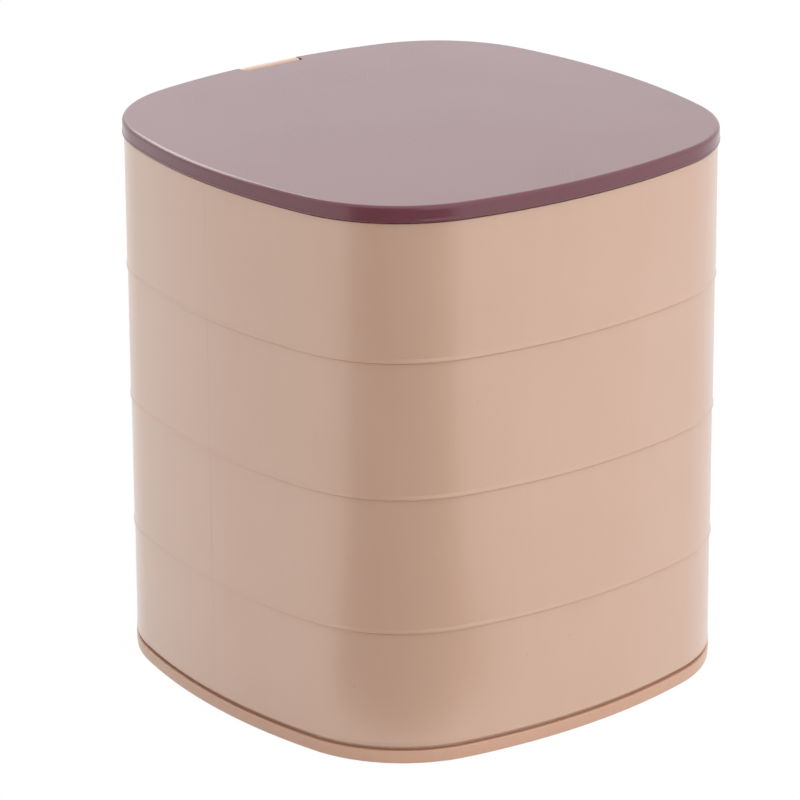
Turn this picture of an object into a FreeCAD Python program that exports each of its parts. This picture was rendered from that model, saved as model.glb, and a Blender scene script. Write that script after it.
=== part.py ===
"""Rotating accessory box with a mirror lid: three trays turn on a post above a fixed bottom tray.

The box stands on z = 0 with its middle on the Z axis. The lid hinge is on the +Y side and the
post stands in the corner between +X and +Y. All lengths are in millimetres.
"""
import FreeCAD
import Part
import Sketcher
import math
import os
import re

Vector = FreeCAD.Vector

# Driving dimensions
SIZES = {
    # Outline in plan: four long side arcs joined by four corner arcs
    "body_width": 102.0,
    "side_radius": 123.0,
    "corner_radius": 27.3,
    "wall": 2.0,
    # Trays
    "tray_height": 26.4,
    "bottom_tray_height": 23.8,
    "floor_thickness": 1.6,
    "bottom_floor_lift": 3.0,
    "running_gap": 0.3,
    "divider_thickness": 1.4,
    "divider_drop": 1.0,
    # Base plate, and the shadow line between it and the bottom tray
    "foot_stand": 0.5,
    "base_thickness": 2.7,
    "reveal_height": 0.9,
    "reveal_depth": 1.0,
    # Rubber feet
    "foot_width": 10.0,
    "foot_seat_depth": 0.7,
    "foot_seat_clearance": 0.15,
    "foot_spacing": 48.0,
    # Post and what rides on it
    "post_inset": 9.4,
    "post_radius": 3.0,
    "post_clearance": 0.06,
    "post_hex_width": 10.0,
    "socket_clearance": 0.1,
    "socket_wall": 1.2,
    "socket_height": 1.8,
    "thread_radius": 1.5,
    "thread_clearance": 0.05,
    "thread_end_gap": 0.5,
    "foot_thread_length": 6.0,
    "end_thread_length": 8.0,
    "screw_head_radius": 2.75,
    "screw_head_height": 1.3,
    "screw_head_clearance": 0.2,
    "boss_radius": 6.2,
    "boss_web_width": 6.0,
    "spacer_radius": 5.0,
    "spacer_thickness": 1.0,
    "spacer_clearance": 0.1,
    "spacer_play": 0.05,
    # Head of the post inside the top tray
    "top_boss_radius": 7.0,
    "chamber_radius": 5.2,
    "cap_radius": 5.8,
    "cap_height": 3.4,
    "cap_thickness": 1.4,
    "cap_wall": 0.9,
    "cap_clearance": 0.05,
    "spring_radius": 4.8,
    "spring_thickness": 0.4,
    "spring_height": 0.75,
    "spring_play": 0.03,
    "washer_radius": 4.9,
    "washer_thickness": 1.0,
    "head_room": 1.4,
    # Lid
    "lid_gap": 0.4,
    "lid_overhang": 0.25,
    "lid_thickness": 2.95,
    "lid_edge_break": 0.6,
    "lid_recess": 1.8,
    "lip_inset": 1.0,
    "lip_play": 0.05,
    # Mirror and the strips of tape that bond it
    "mirror_border": 7.0,
    "mirror_gap": 0.2,
    "mirror_thickness": 1.4,
    "tape_thickness": 0.2,
    "tape_length": 64.0,
    "tape_width": 12.0,
    "tape_spacing": 44.0,
    # Lid hinge
    "hinge_offset": 1.0,
    "hinge_inset": 1.6,
    "knuckle_width": 14.1,
    "knuckle_radius": 1.5,
    "knuckle_round": 0.5,
    "knuckle_side_gap": 0.25,
    "knuckle_front_gap": 0.3,
    "notch_corner": 0.6,
    "bracket_depth": 0.8,
    "pin_radius": 0.5,
    "pin_length": 21.0,
    "pin_running_fit": 0.05,
    "pin_press_fit": 0.01,
    "pin_end_gap": 0.2,
    "relief_clearance": 0.25,
    "relief_width": 32.0,
    "keeper_width": 24.0,
    "keeper_depth": 4.0,
    "keeper_clearance": 0.1,
}

# Sizes worked out from the driving dimensions
DERIVED = {
    "half_width": "body_width / 2",
    "side_centre": "side_radius - half_width",
    "radius_step": "side_radius - corner_radius",
    "corner_centre": "(sqrt(2 * radius_step ^ 2 - side_centre ^ 2) - side_centre) / 2",
    "join_short": "corner_centre / radius_step",
    "join_long": "(corner_centre + side_centre) / radius_step",
    "base_top": "foot_stand + base_thickness",
    "bottom_rim": "base_top + bottom_tray_height",
    "layer_pitch": "tray_height + running_gap",
    "lower_level": "bottom_rim + running_gap",
    "upper_level": "lower_level + layer_pitch",
    "top_level": "upper_level + layer_pitch",
    "top_rim": "top_level + tray_height",
    "lid_level": "top_rim + lid_gap",
    "post_place": "corner_centre + (corner_radius - post_inset) / sqrt(2)",
    "bore_radius": "post_radius + post_clearance",
    "spacer_seat": "spacer_thickness + spacer_play - running_gap",
    "spacer_seat_radius": "spacer_radius + spacer_clearance",
    "hex_corner": "post_hex_width / 2 / cos(30 deg)",
    "screw_seat": "screw_head_height + screw_head_clearance",
    "foot_screw_length": "base_thickness - screw_seat + foot_thread_length - thread_end_gap",
    "end_screw_length": "washer_thickness + end_thread_length - thread_end_gap",
    "foot_seat_width": "foot_width + 2 * foot_seat_clearance",
    "top_boss_height": "tray_height - divider_drop",
    "cap_step": "top_boss_height - cap_height",
    "chamber_height": "spring_height + 2 * spring_play + washer_thickness"
                      " + screw_head_height + head_room",
    "shoulder": "cap_step - chamber_height",
    "post_end": "top_level + shoulder + spring_height + 2 * spring_play",
    "hinge_y": "half_width + lid_overhang - hinge_inset",
    "hinge_rise": "lid_thickness - knuckle_radius",
    "pin_bore": "pin_radius + pin_running_fit",
    "notch_y": "hinge_y - knuckle_radius - knuckle_front_gap",
    "notch_half": "knuckle_width / 2 + knuckle_side_gap",
    "keeper_top": "hinge_rise - pin_bore",
    "keeper_back": "hinge_y + pin_bore",
    "relief_radius": "lid_gap + hinge_rise - relief_clearance",
    "mirror_inset": "mirror_border - lid_overhang",
}

doc = FreeCAD.newDocument("AccessoryBox")


def bound(text, own_sheet=""):
    """Return an expression in which each short size name points at the sheet that holds it."""
    def reference(match):
        word = match.group(0)
        if word in SIZES:
            return "Sizes." + word
        if word in DERIVED and own_sheet != "Derived":
            return "Derived." + word
        return word
    return re.sub("[a-z_]+", reference, text)


def make_sheets():
    """Write the driving dimensions and the sizes that follow from them into two sheets."""
    sizes = doc.addObject("Spreadsheet::Sheet", "Sizes")
    for row, (name, number) in enumerate(SIZES.items(), 1):
        sizes.set(f"A{row}", name)
        sizes.set(f"B{row}", str(number))
        sizes.setAlias(f"B{row}", name)
    derived = doc.addObject("Spreadsheet::Sheet", "Derived")
    for row, name in enumerate(DERIVED, 1):
        derived.set(f"A{row}", name)
        derived.setAlias(f"B{row}", name)
    doc.recompute()
    for row, (name, formula) in enumerate(DERIVED.items(), 1):
        derived.set(f"B{row}", "=" + bound(formula, "Derived"))
    doc.recompute()
    return derived


derived_sheet = make_sheets()


def value(text):
    """Return the number that an expression has now, which places the first guess of a sketch."""
    return float(derived_sheet.evalExpression(bound(text)))


def bind(item, path, text):
    """Tie a property to an expression of named sizes."""
    item.setExpression(path, bound(text))


# Sketch building


def new_sketch(body, name, role, offset="0"):
    """Start a sketch on one of the body's own origin planes, moved along the plane's normal."""
    plane = next(item for item in body.Origin.OriginFeatures if item.Role == role)
    sketch = body.newObject("Sketcher::SketchObject", name)
    sketch.AttachmentSupport = [(plane, "")]
    sketch.MapMode = "FlatFace"
    bind(sketch, "AttachmentOffset.Base.z", offset)
    return sketch


def dimension(sketch, kind, *references, text):
    """Add a driving dimension and tie it to an expression."""
    index = sketch.addConstraint(Sketcher.Constraint(kind, *references, value(text)))
    name = f"size_{index}"
    sketch.renameConstraint(index, name)
    bind(sketch, f"Constraints.{name}", text)


def fix_point(sketch, edge, end, across, along):
    """Place one end of an edge by its two coordinates."""
    dimension(sketch, "DistanceX", -1, 1, edge, end, text=across)
    dimension(sketch, "DistanceY", -1, 1, edge, end, text=along)


def close_chain(sketch, edges):
    """Join each edge's end to the next edge's start."""
    for edge, following in zip(edges, edges[1:] + edges[:1]):
        sketch.addConstraint(Sketcher.Constraint("Coincident", edge, 2, following, 1))


def polygon(sketch, corners):
    """Draw a closed polygon whose corners are given by pairs of expressions."""
    spots = [Vector(value(across), value(along), 0) for across, along in corners]
    edges = []
    for spot, following in zip(spots, spots[1:] + spots[:1]):
        edges.append(sketch.addGeometry(Part.LineSegment(spot, following), False))
    close_chain(sketch, edges)
    for edge, (across, along) in zip(edges, corners):
        fix_point(sketch, edge, 1, across, along)


def rectangle(sketch, left, low, right, high):
    """Draw an upright rectangle from two opposite corners."""
    spots = [
        Vector(value(left), value(low), 0),
        Vector(value(right), value(low), 0),
        Vector(value(right), value(high), 0),
        Vector(value(left), value(high), 0),
    ]
    edges = []
    for spot, following in zip(spots, spots[1:] + spots[:1]):
        edges.append(sketch.addGeometry(Part.LineSegment(spot, following), False))
    close_chain(sketch, edges)
    for edge, direction in zip(edges, ("Horizontal", "Vertical", "Horizontal", "Vertical")):
        sketch.addConstraint(Sketcher.Constraint(direction, edge))
    fix_point(sketch, edges[0], 1, left, low)
    fix_point(sketch, edges[2], 1, right, high)


def circles(sketch, places, radius):
    """Draw equal circles at pairs of expressions."""
    for across, along in places:
        middle = Vector(value(across), value(along), 0)
        edge = sketch.addGeometry(Part.Circle(middle, Vector(0, 0, 1), value(radius)), False)
        fix_point(sketch, edge, 3, across, along)
        dimension(sketch, "Radius", edge, text=radius)


def rounded_outline(sketch, points, arcs):
    """Draw a closed outline of lines, with an arc after each point named in arcs.

    arcs maps a point's number to the arc's middle, as a pair of expressions, and its sense:
    1 runs anticlockwise and -1 clockwise.
    """
    spots = [Vector(value(across), value(along), 0) for across, along in points]
    edges = []
    starts = []
    for number, (spot, following) in enumerate(zip(spots, spots[1:] + spots[:1])):
        if number not in arcs:
            edges.append(sketch.addGeometry(Part.LineSegment(spot, following), False))
            starts.append((1, 2))
            continue
        across, along, sense = arcs[number]
        middle = Vector(value(across), value(along), 0)
        first, last = (spot, following) if sense > 0 else (following, spot)
        angles = [math.atan2(end.y - middle.y, end.x - middle.x) for end in (first, last)]
        circle = Part.Circle(middle, Vector(0, 0, 1), (spot - middle).Length)
        edges.append(sketch.addGeometry(Part.ArcOfCircle(circle, *angles), False))
        starts.append((1, 2) if sense > 0 else (2, 1))
        flat = abs(following.x - spot.x) > abs(following.y - spot.y)
        if flat:
            dimension(sketch, "DistanceY", -1, 1, edges[-1], 3, text=along)
        else:
            dimension(sketch, "DistanceX", -1, 1, edges[-1], 3, text=across)
    for number, edge in enumerate(edges):
        following = (number + 1) % len(edges)
        joined = (edge, starts[number][1], edges[following], starts[following][0])
        sketch.addConstraint(Sketcher.Constraint("Coincident", *joined))
        fix_point(sketch, edge, starts[number][0], *points[number])


def soft_square(sketch, inset):
    """Draw the box's plan outline, moved in by an inset.

    Four side arcs meet four corner arcs where both point the same way, so the inset takes its
    length off every radius and leaves the arcs' middles where they are.
    """
    near = value(f"corner_centre + (corner_radius - ({inset})) * join_short")
    far = value(f"corner_centre + (corner_radius - ({inset})) * join_long")
    side = value("side_centre")
    corner = value("corner_centre")
    lean = math.atan2(near - corner, far - corner)
    edges = []
    for quarter in range(4):
        turn = quarter * math.pi / 2
        spin = FreeCAD.Rotation(Vector(0, 0, 1), math.degrees(turn))
        middle = spin.multVec(Vector(-side, 0, 0))
        circle = Part.Circle(middle, Vector(0, 0, 1), value(f"side_radius - ({inset})"))
        edges.append(sketch.addGeometry(Part.ArcOfCircle(circle, turn - lean, turn + lean), False))
        middle = spin.multVec(Vector(corner, corner, 0))
        circle = Part.Circle(middle, Vector(0, 0, 1), value(f"corner_radius - ({inset})"))
        ends = (turn + lean, turn + math.pi / 2 - lean)
        edges.append(sketch.addGeometry(Part.ArcOfCircle(circle, *ends), False))
    close_chain(sketch, edges)
    right, back, left, front = edges[0::2]
    across, upright = -1, -2
    for first, end, second, other, axis in (
        (right, 1, right, 2, across),
        (left, 1, left, 2, across),
        (right, 2, left, 1, upright),
        (back, 1, back, 2, upright),
        (front, 1, front, 2, upright),
        (back, 2, front, 1, across),
    ):
        sketch.addConstraint(Sketcher.Constraint("Symmetric", first, end, second, other, axis))
    short = f"corner_centre + (corner_radius - ({inset})) * join_short"
    long = f"corner_centre + (corner_radius - ({inset})) * join_long"
    fix_point(sketch, right, 2, long, short)
    fix_point(sketch, back, 1, short, long)
    dimension(sketch, "Radius", right, text=f"side_radius - ({inset})")
    dimension(sketch, "Radius", edges[1], text=f"corner_radius - ({inset})")
    for other in (back, left, front):
        sketch.addConstraint(Sketcher.Constraint("Equal", right, other))
    for other in edges[3::2]:
        sketch.addConstraint(Sketcher.Constraint("Equal", edges[1], other))


# Feature building


def new_body(name, level="0"):
    """Start a sub-part whose own zero stands at a level above the ground."""
    body = doc.addObject("PartDesign::Body", name)
    body.Label = name
    body.AllowCompound = True
    bind(body, "Placement.Base.z", level)
    doc.recompute()
    return body


def add_feature(body, kind, sketch, length, flip):
    """Add a pad or a pocket and make sure that it changes the volume the right way."""
    before = body.Shape.Volume if body.Tip else 0.0
    feature = body.newObject(f"PartDesign::{kind}", f"{sketch.Name}_{kind}")
    feature.Profile = sketch
    feature.Reversed = flip
    bind(feature, "Length", length)
    doc.recompute()
    change = body.Shape.Volume - before
    if (change <= 0) == (kind == "Pad"):
        raise RuntimeError(f"{feature.Name} of {body.Name} changes the volume by {change:.4f}")
    return feature


def pad(body, sketch, length, down=False):
    """Add material over a sketch, along its normal unless down is set."""
    return add_feature(body, "Pad", sketch, length, down)


def pocket(body, sketch, length, forward=False):
    """Cut below a sketch, against its normal unless forward is set."""
    return add_feature(body, "Pocket", sketch, length, forward)


def turned(body, sketch):
    """Revolve a profile about its own upright axis."""
    feature = body.newObject("PartDesign::Revolution", f"{sketch.Name}_Turn")
    feature.Profile = sketch
    feature.ReferenceAxis = (sketch, ["V_Axis"])
    feature.Angle = 360
    doc.recompute()
    return feature


def treat_edges(body, kind, name, size, choose):
    """Round or bevel the edges that a test picks out. kind is Fillet or Chamfer."""
    base = body.Tip
    edges = enumerate(base.Shape.Edges, 1)
    picked = [f"Edge{index}" for index, edge in edges if choose(edge)]
    if not picked:
        raise RuntimeError(f"{name} of {body.Name} finds no edge")
    feature = body.newObject(f"PartDesign::{kind}", name)
    feature.Base = (base, picked)
    bind(feature, "Radius" if kind == "Fillet" else "Size", size)
    doc.recompute()
    return feature


def lies_flat(height):
    """Return a test for level edges at a height."""
    level = value(height)

    def test(edge):
        box = edge.BoundBox
        return abs(box.ZMin - level) < 1e-4 and abs(box.ZMax - level) < 1e-4
    return test


def slab(body, name, inset, bottom, height):
    """Add a block with the box's plan outline."""
    sketch = new_sketch(body, name, "XY_Plane", bottom)
    soft_square(sketch, inset)
    return pad(body, sketch, height)


def hollow(body, name, inset, top, depth):
    """Cut a hollow with the box's plan outline down from a level."""
    sketch = new_sketch(body, name, "XY_Plane", top)
    soft_square(sketch, inset)
    return pocket(body, sketch, depth)


def round_pad(body, name, places, radius, bottom, height):
    """Add upright round bosses."""
    sketch = new_sketch(body, name, "XY_Plane", bottom)
    circles(sketch, places, radius)
    return pad(body, sketch, height)


def round_hole(body, name, places, radius, top, depth):
    """Cut upright round holes down from a level."""
    sketch = new_sketch(body, name, "XY_Plane", top)
    circles(sketch, places, radius)
    return pocket(body, sketch, depth)


POST = [("post_place", "post_place")]
FEET = [(f"{across}foot_spacing / 2", f"{along}foot_spacing / 2")
        for across in ("", "-") for along in ("", "-")]


def undercut(body, name, inset, bottom, depth):
    """Cut a hollow with the box's plan outline up from a level."""
    sketch = new_sketch(body, name, "XY_Plane", bottom)
    soft_square(sketch, inset)
    return pocket(body, sketch, depth, forward=True)


def round_hole_up(body, name, places, radius, bottom, depth):
    """Cut upright round holes up from a level."""
    sketch = new_sketch(body, name, "XY_Plane", bottom)
    circles(sketch, places, radius)
    return pocket(body, sketch, depth, forward=True)


def box_pad(body, name, corners, bottom, height):
    """Add a rectangular block."""
    sketch = new_sketch(body, name, "XY_Plane", bottom)
    rectangle(sketch, *corners)
    return pad(body, sketch, height)


def box_cut(body, name, corners, level, depth, forward=False):
    """Cut a rectangular hollow down from a level, or up from it if forward is set."""
    sketch = new_sketch(body, name, "XY_Plane", level)
    rectangle(sketch, *corners)
    return pocket(body, sketch, depth, forward)


def ring(body, name, places, outer, inner, bottom, height):
    """Add a flat ring."""
    sketch = new_sketch(body, name, "XY_Plane", bottom)
    circles(sketch, places, outer)
    circles(sketch, places, inner)
    return pad(body, sketch, height)


# Trays


def divider(body, number, line, along_x, bottom, top):
    """Add one straight divider whose ends run into the middle of the wall."""
    reach = f"sqrt((side_radius - wall / 2) ^ 2 - ({line}) ^ 2) - side_centre"
    low = f"{line} - divider_thickness / 2"
    high = f"{line} + divider_thickness / 2"
    corners = [f"-({reach})", low, reach, high]
    if not along_x:
        corners = [low, f"-({reach})", high, reach]
    box_pad(body, f"Divider{number}", corners, bottom, f"{top} - ({bottom})")


def post_boss(body, radius, bottom, top):
    """Add the tube that the post runs through, with the web that ties it to the corner wall."""
    round_pad(body, "Boss", POST, radius, bottom, f"{top} - ({bottom})")
    across = "boss_web_width / 2 / sqrt(2)"
    outward = "(post_inset - wall / 2) / sqrt(2)"
    sketch = new_sketch(body, "BossWeb", "XY_Plane", bottom)
    polygon(sketch, [
        (f"post_place - {across}", f"post_place + {across}"),
        (f"post_place + {across}", f"post_place - {across}"),
        (f"post_place + {across} + {outward}", f"post_place - {across} + {outward}"),
        (f"post_place - {across} + {outward}", f"post_place + {across} + {outward}"),
    ])
    pad(body, sketch, f"{top} - ({bottom})")


def tray_shell(name, level):
    """Make a turning tray's outer wall and floor."""
    body = new_body(name, level)
    slab(body, "Blank", "0", "0", "tray_height")
    hollow(body, "Inside", "wall", "tray_height", "tray_height - floor_thickness")
    return body


def dividers(body, lines_along_x, lines_along_y, bottom, top):
    """Add the dividers of one tray."""
    number = 0
    for along_x, lines in ((True, lines_along_x), (False, lines_along_y)):
        for line in lines:
            number += 1
            divider(body, number, line, along_x, bottom, top)


def make_bottom_tray():
    """Make the fixed tray: one open room, over a set-back ring that stands on the base plate.

    The ring is welded to the plate, and its set-back makes the shadow line.
    """
    height = "bottom_tray_height"
    floor = "bottom_floor_lift + floor_thickness"
    body = new_body("tray_bottom", "base_top")
    slab(body, "Ring", "reveal_depth", "0", "reveal_height")
    slab(body, "Blank", "0", "reveal_height", f"{height} - reveal_height")
    hollow(body, "Inside", "wall", height, f"{height} - ({floor})")
    undercut(body, "Underneath", "wall", "0", "bottom_floor_lift")
    post_boss(body, "boss_radius", floor, height)
    round_hole(body, "Bore", POST, "bore_radius", height, height)
    round_hole(body, "SpacerSeat", POST, "spacer_seat_radius", height, "spacer_seat")
    return body


def make_middle_tray(name, level, lines_along_x, lines_along_y):
    """Make a turning tray that carries the spacer of the tray above."""
    body = tray_shell(name, level)
    dividers(body, lines_along_x, lines_along_y, "floor_thickness",
             "tray_height - divider_drop")
    post_boss(body, "boss_radius", "floor_thickness", "tray_height")
    round_hole(body, "Bore", POST, "bore_radius", "tray_height", "tray_height")
    round_hole(body, "SpacerSeat", POST, "spacer_seat_radius", "tray_height", "spacer_seat")
    return body


def make_top_tray():
    """Make the top tray: nine rooms, the lip that the lid rests on and the hinge knuckle."""
    third = "(body_width - 2 * wall) / 6"
    body = new_body("tray_top", "top_level")
    slab(body, "Blank", "0", "0", "tray_height")
    slab(body, "Lip", "lip_inset", "tray_height", "lid_gap - lip_play")
    hollow(body, "Inside", "wall", "tray_height + lid_gap",
           "tray_height + lid_gap - floor_thickness")
    box_cut(body, "LipGap", ["hinge_offset - relief_width / 2", "half_width / 2",
                             "hinge_offset + relief_width / 2", "half_width"],
            "tray_height + lid_gap", "lid_gap")
    lines = [f"-{third}", third]
    dividers(body, lines, lines, "floor_thickness", "top_boss_height")
    post_boss(body, "top_boss_radius", "floor_thickness", "top_boss_height")
    round_hole(body, "Bore", POST, "bore_radius", "shoulder", "shoulder")
    round_hole(body, "Chamber", POST, "chamber_radius", "cap_step", "chamber_height")
    round_hole(body, "CapSeat", POST, "cap_radius + cap_clearance", "top_boss_height",
               "cap_height")
    knuckle(body)
    return body


def knuckle(body):
    """Add the hinge knuckle: a bracket on the wall, a rounded inner top and the pin's bore.

    The inner top is a quarter circle about the pin, so that the lid's notch swings round it.
    """
    axis = "tray_height + lid_gap + hinge_rise"
    top = "tray_height + lid_gap + lid_thickness"
    outside = "half_width + lid_overhang"
    inner = "hinge_y - knuckle_radius"
    in_wall = "half_width - wall / 2"
    sketch = new_sketch(body, "Knuckle", "YZ_Plane", "hinge_offset + knuckle_width / 2")
    rounded_outline(sketch, [
        (inner, axis),
        (inner, "tray_height - bracket_depth"),
        (in_wall, f"tray_height - bracket_depth - ({in_wall}) + ({inner})"),
        (in_wall, "tray_height"),
        ("half_width", "tray_height"),
        (outside, "tray_height + lid_gap"),
        (outside, f"{top} - knuckle_round"),
        (f"{outside} - knuckle_round", top),
        ("hinge_y", top),
    ], {
        6: (f"{outside} - knuckle_round", f"{top} - knuckle_round", 1),
        8: ("hinge_y", axis, 1),
    })
    pad(body, sketch, "knuckle_width", down=True)
    sketch = new_sketch(body, "PinBore", "YZ_Plane", "hinge_offset + knuckle_width / 2")
    circles(sketch, [("hinge_y", axis)], "pin_radius + pin_press_fit")
    pocket(body, sketch, "knuckle_width")


# Base


def around(place, width):
    """Return the corners of a square about a place."""
    across, along = place
    return [f"{across} - {width} / 2", f"{along} - {width} / 2",
            f"{across} + {width} / 2", f"{along} + {width} / 2"]


def make_base_plate():
    """Make the base plate, with the post's six-sided socket and seats for screw and feet."""
    body = new_body("base_plate", "foot_stand")
    slab(body, "Plate", "0", "0", "base_thickness")
    hole = "hex_corner + socket_clearance"
    sketch = new_sketch(body, "Socket", "XY_Plane", "base_thickness")
    hexagon(sketch, f"{hole} + socket_wall")
    hexagon(sketch, hole)
    pad(body, sketch, "socket_height")
    for number, place in enumerate(FEET):
        box_cut(body, f"FootSeat{number}", around(place, "foot_seat_width"), "0",
                "foot_seat_depth", forward=True)
    round_hole_up(body, "HeadSeat", POST, "screw_head_radius + screw_head_clearance", "0",
                  "screw_seat")
    round_hole(body, "ScrewHole", POST, "thread_radius + thread_clearance", "base_thickness",
               "base_thickness")
    return body


def hexagon(sketch, radius):
    """Draw a hexagon about the post."""
    polygon(sketch, [(f"post_place + ({radius}) * cos({angle} deg)",
                      f"post_place + ({radius}) * sin({angle} deg)")
                     for angle in range(0, 360, 60)])


def make_feet():
    """Make the four feet, which stand out of their seats below the base plate."""
    body = new_body("foot_pads")
    for number, place in enumerate(FEET):
        box_pad(body, f"Foot{number}", around(place, "foot_width"), "0",
                "foot_stand + foot_seat_depth")
    return body


def make_screw(name, level, length, upward):
    """Make a pan-head screw on the post's axis, whose head bears on a level."""
    body = new_body(name, level)
    head = "-screw_head_height" if upward else "0"
    shank = "0" if upward else f"-({length})"
    round_pad(body, "Head", POST, "screw_head_radius", head, "screw_head_height")
    round_pad(body, "Shank", POST, "thread_radius", shank, length)
    return body


# Post


def make_post():
    """Make the post: a six-sided foot held between base plate and floor, and a long shaft."""
    body = new_body("pivot_post", "base_top")
    sketch = new_sketch(body, "Foot", "XY_Plane")
    hexagon(sketch, "hex_corner")
    pad(body, sketch, "bottom_floor_lift")
    top = "post_end - base_top"
    round_pad(body, "Shaft", POST, "post_radius", "bottom_floor_lift",
              f"{top} - bottom_floor_lift")
    thread = "thread_radius + thread_clearance"
    round_hole_up(body, "FootThread", POST, thread, "0", "foot_thread_length")
    round_hole(body, "EndThread", POST, thread, top, "end_thread_length")
    return body


def make_spacer(name, rim):
    """Make a spacer ring, which sits in a tray's boss and carries the tray above."""
    body = new_body(name, f"{rim} - spacer_seat")
    ring(body, "Ring", POST, "spacer_radius", "bore_radius", "0", "spacer_thickness")
    return body


def make_spring_washer():
    """Make the dished washer that keeps a light drag on the stack of trays."""
    body = new_body("spring_washer", "top_level + shoulder + spring_play")
    sketch = new_sketch(body, "Dish", "XZ_Plane", "-post_place")
    bind(sketch, "AttachmentOffset.Base.x", "post_place")
    polygon(sketch, [
        ("bore_radius", "spring_height - spring_thickness"),
        ("spring_radius", "0"),
        ("spring_radius", "spring_thickness"),
        ("bore_radius", "spring_height"),
    ])
    turned(body, sketch)
    return body


def make_retaining_washer():
    """Make the flat washer that the screw clamps on the end of the post."""
    body = new_body("retaining_washer", "post_end")
    ring(body, "Ring", POST, "washer_radius", "thread_radius + thread_clearance", "0",
         "washer_thickness")
    return body


def make_cap():
    """Make the cap that closes the boss in the top tray."""
    body = new_body("pivot_cap", "top_level + cap_step")
    round_pad(body, "Disc", POST, "cap_radius", "0", "cap_height")
    round_hole_up(body, "CapInside", POST, "cap_radius - cap_wall", "0",
                  "cap_height - cap_thickness")
    return body


# Lid


def hinge_box(half, low, high):
    """Return the corners of a plan rectangle centred on the hinge."""
    return [f"hinge_offset - ({half})", low, f"hinge_offset + ({half})", high]


def make_lid_shell():
    """Make the lid: a plate with a recess for the mirror and two ears that hold the pin.

    The pin lies in a groove that is open below, and the keeper closes the groove.
    """
    body = new_body("lid_shell", "lid_level")
    slab(body, "Plate", "-lid_overhang", "0", "lid_thickness")
    treat_edges(body, "Chamfer", "TopEdge", "lid_edge_break", lies_flat("lid_thickness"))
    undercut(body, "MirrorRecess", "mirror_inset - mirror_gap", "0", "lid_recess")
    front = "keeper_back - keeper_depth - 2 * keeper_clearance"
    box_cut(body, "KeeperSeat",
            hinge_box("keeper_width / 2 + keeper_clearance", front, "keeper_back"),
            "0", "keeper_top", forward=True)
    sketch = new_sketch(body, "PinGroove", "YZ_Plane",
                        "hinge_offset + pin_length / 2 + pin_end_gap")
    rounded_outline(sketch, [
        ("hinge_y - pin_bore", "keeper_top"),
        ("hinge_y + pin_bore", "keeper_top"),
        ("hinge_y + pin_bore", "hinge_rise"),
        ("hinge_y - pin_bore", "hinge_rise"),
    ], {2: ("hinge_y", "hinge_rise", 1)})
    pocket(body, sketch, "pin_length + 2 * pin_end_gap")
    sketch = new_sketch(body, "Relief", "YZ_Plane", "hinge_offset + relief_width / 2")
    beyond = "relief_radius + lid_thickness"
    rounded_outline(sketch, [
        ("hinge_y", "hinge_rise - relief_radius"),
        ("hinge_y + relief_radius", "hinge_rise"),
        (f"hinge_y + {beyond}", "hinge_rise"),
        (f"hinge_y + {beyond}", f"hinge_rise - ({beyond})"),
        ("hinge_y", f"hinge_rise - ({beyond})"),
    ], {0: ("hinge_y", "hinge_rise", 1)})
    pocket(body, sketch, "relief_width")
    box_cut(body, "Notch", hinge_box("notch_half", "notch_y", f"half_width + {beyond}"),
            "lid_thickness", "lid_thickness")
    side = value("notch_half")
    middle = value("hinge_offset")
    inner = value("notch_y")

    def notch_edge(item):
        box = item.BoundBox
        upright = box.XLength < 1e-4 and box.YLength < 1e-4
        return (upright and abs(abs(box.XMin - middle) - side) < 1e-4
                and abs(box.YMin - inner) < 1e-4)
    treat_edges(body, "Fillet", "NotchCorners", "notch_corner", notch_edge)
    return body


def make_hinge_keeper():
    """Make the strip bonded into the lid, which closes the pin's groove on both sides."""
    body = new_body("hinge_keeper", "lid_level")
    back = "keeper_back - keeper_clearance"
    box_pad(body, "Strip", hinge_box("keeper_width / 2", f"{back} - keeper_depth", back),
            "0", "keeper_top")
    box_cut(body, "KnuckleRoom",
            hinge_box("notch_half + keeper_clearance", "notch_y - keeper_clearance",
                      "half_width"),
            "keeper_top", "keeper_top")
    return body


def make_mirror():
    """Make the mirror plate, a little below the lid's face."""
    body = new_body("mirror", "lid_level")
    slab(body, "Plate", "mirror_inset", "lid_recess - tape_thickness - mirror_thickness",
         "mirror_thickness")
    return body


def make_tape():
    """Make the two strips of tape that bond the mirror to the lid."""
    body = new_body("mirror_tape", "lid_level")
    for name, line in (("FrontStrip", "-tape_spacing / 2"), ("BackStrip", "tape_spacing / 2")):
        box_pad(body, name, ["-tape_length / 2", f"{line} - tape_width / 2",
                             "tape_length / 2", f"{line} + tape_width / 2"],
                "lid_recess - tape_thickness", "tape_thickness")
    return body


def make_pin():
    """Make the hinge pin, pressed into the knuckle and turning in the lid's ears."""
    body = new_body("hinge_pin", "lid_level")
    sketch = new_sketch(body, "Pin", "YZ_Plane", "hinge_offset + pin_length / 2")
    circles(sketch, [("hinge_y", "hinge_rise")], "pin_radius")
    pad(body, sketch, "pin_length", down=True)
    return body


def check(bodies):
    """Stop if any object failed or any sub-part is empty or broken."""
    for item in doc.Objects:
        if "Invalid" in item.State or "Error" in item.State:
            raise RuntimeError(f"{item.Name} is {item.State}")
    for body in bodies:
        if body.Shape.isNull() or not body.Shape.isValid() or body.Shape.Volume <= 0:
            raise RuntimeError(f"{body.Label} has no sound shape")


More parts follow.
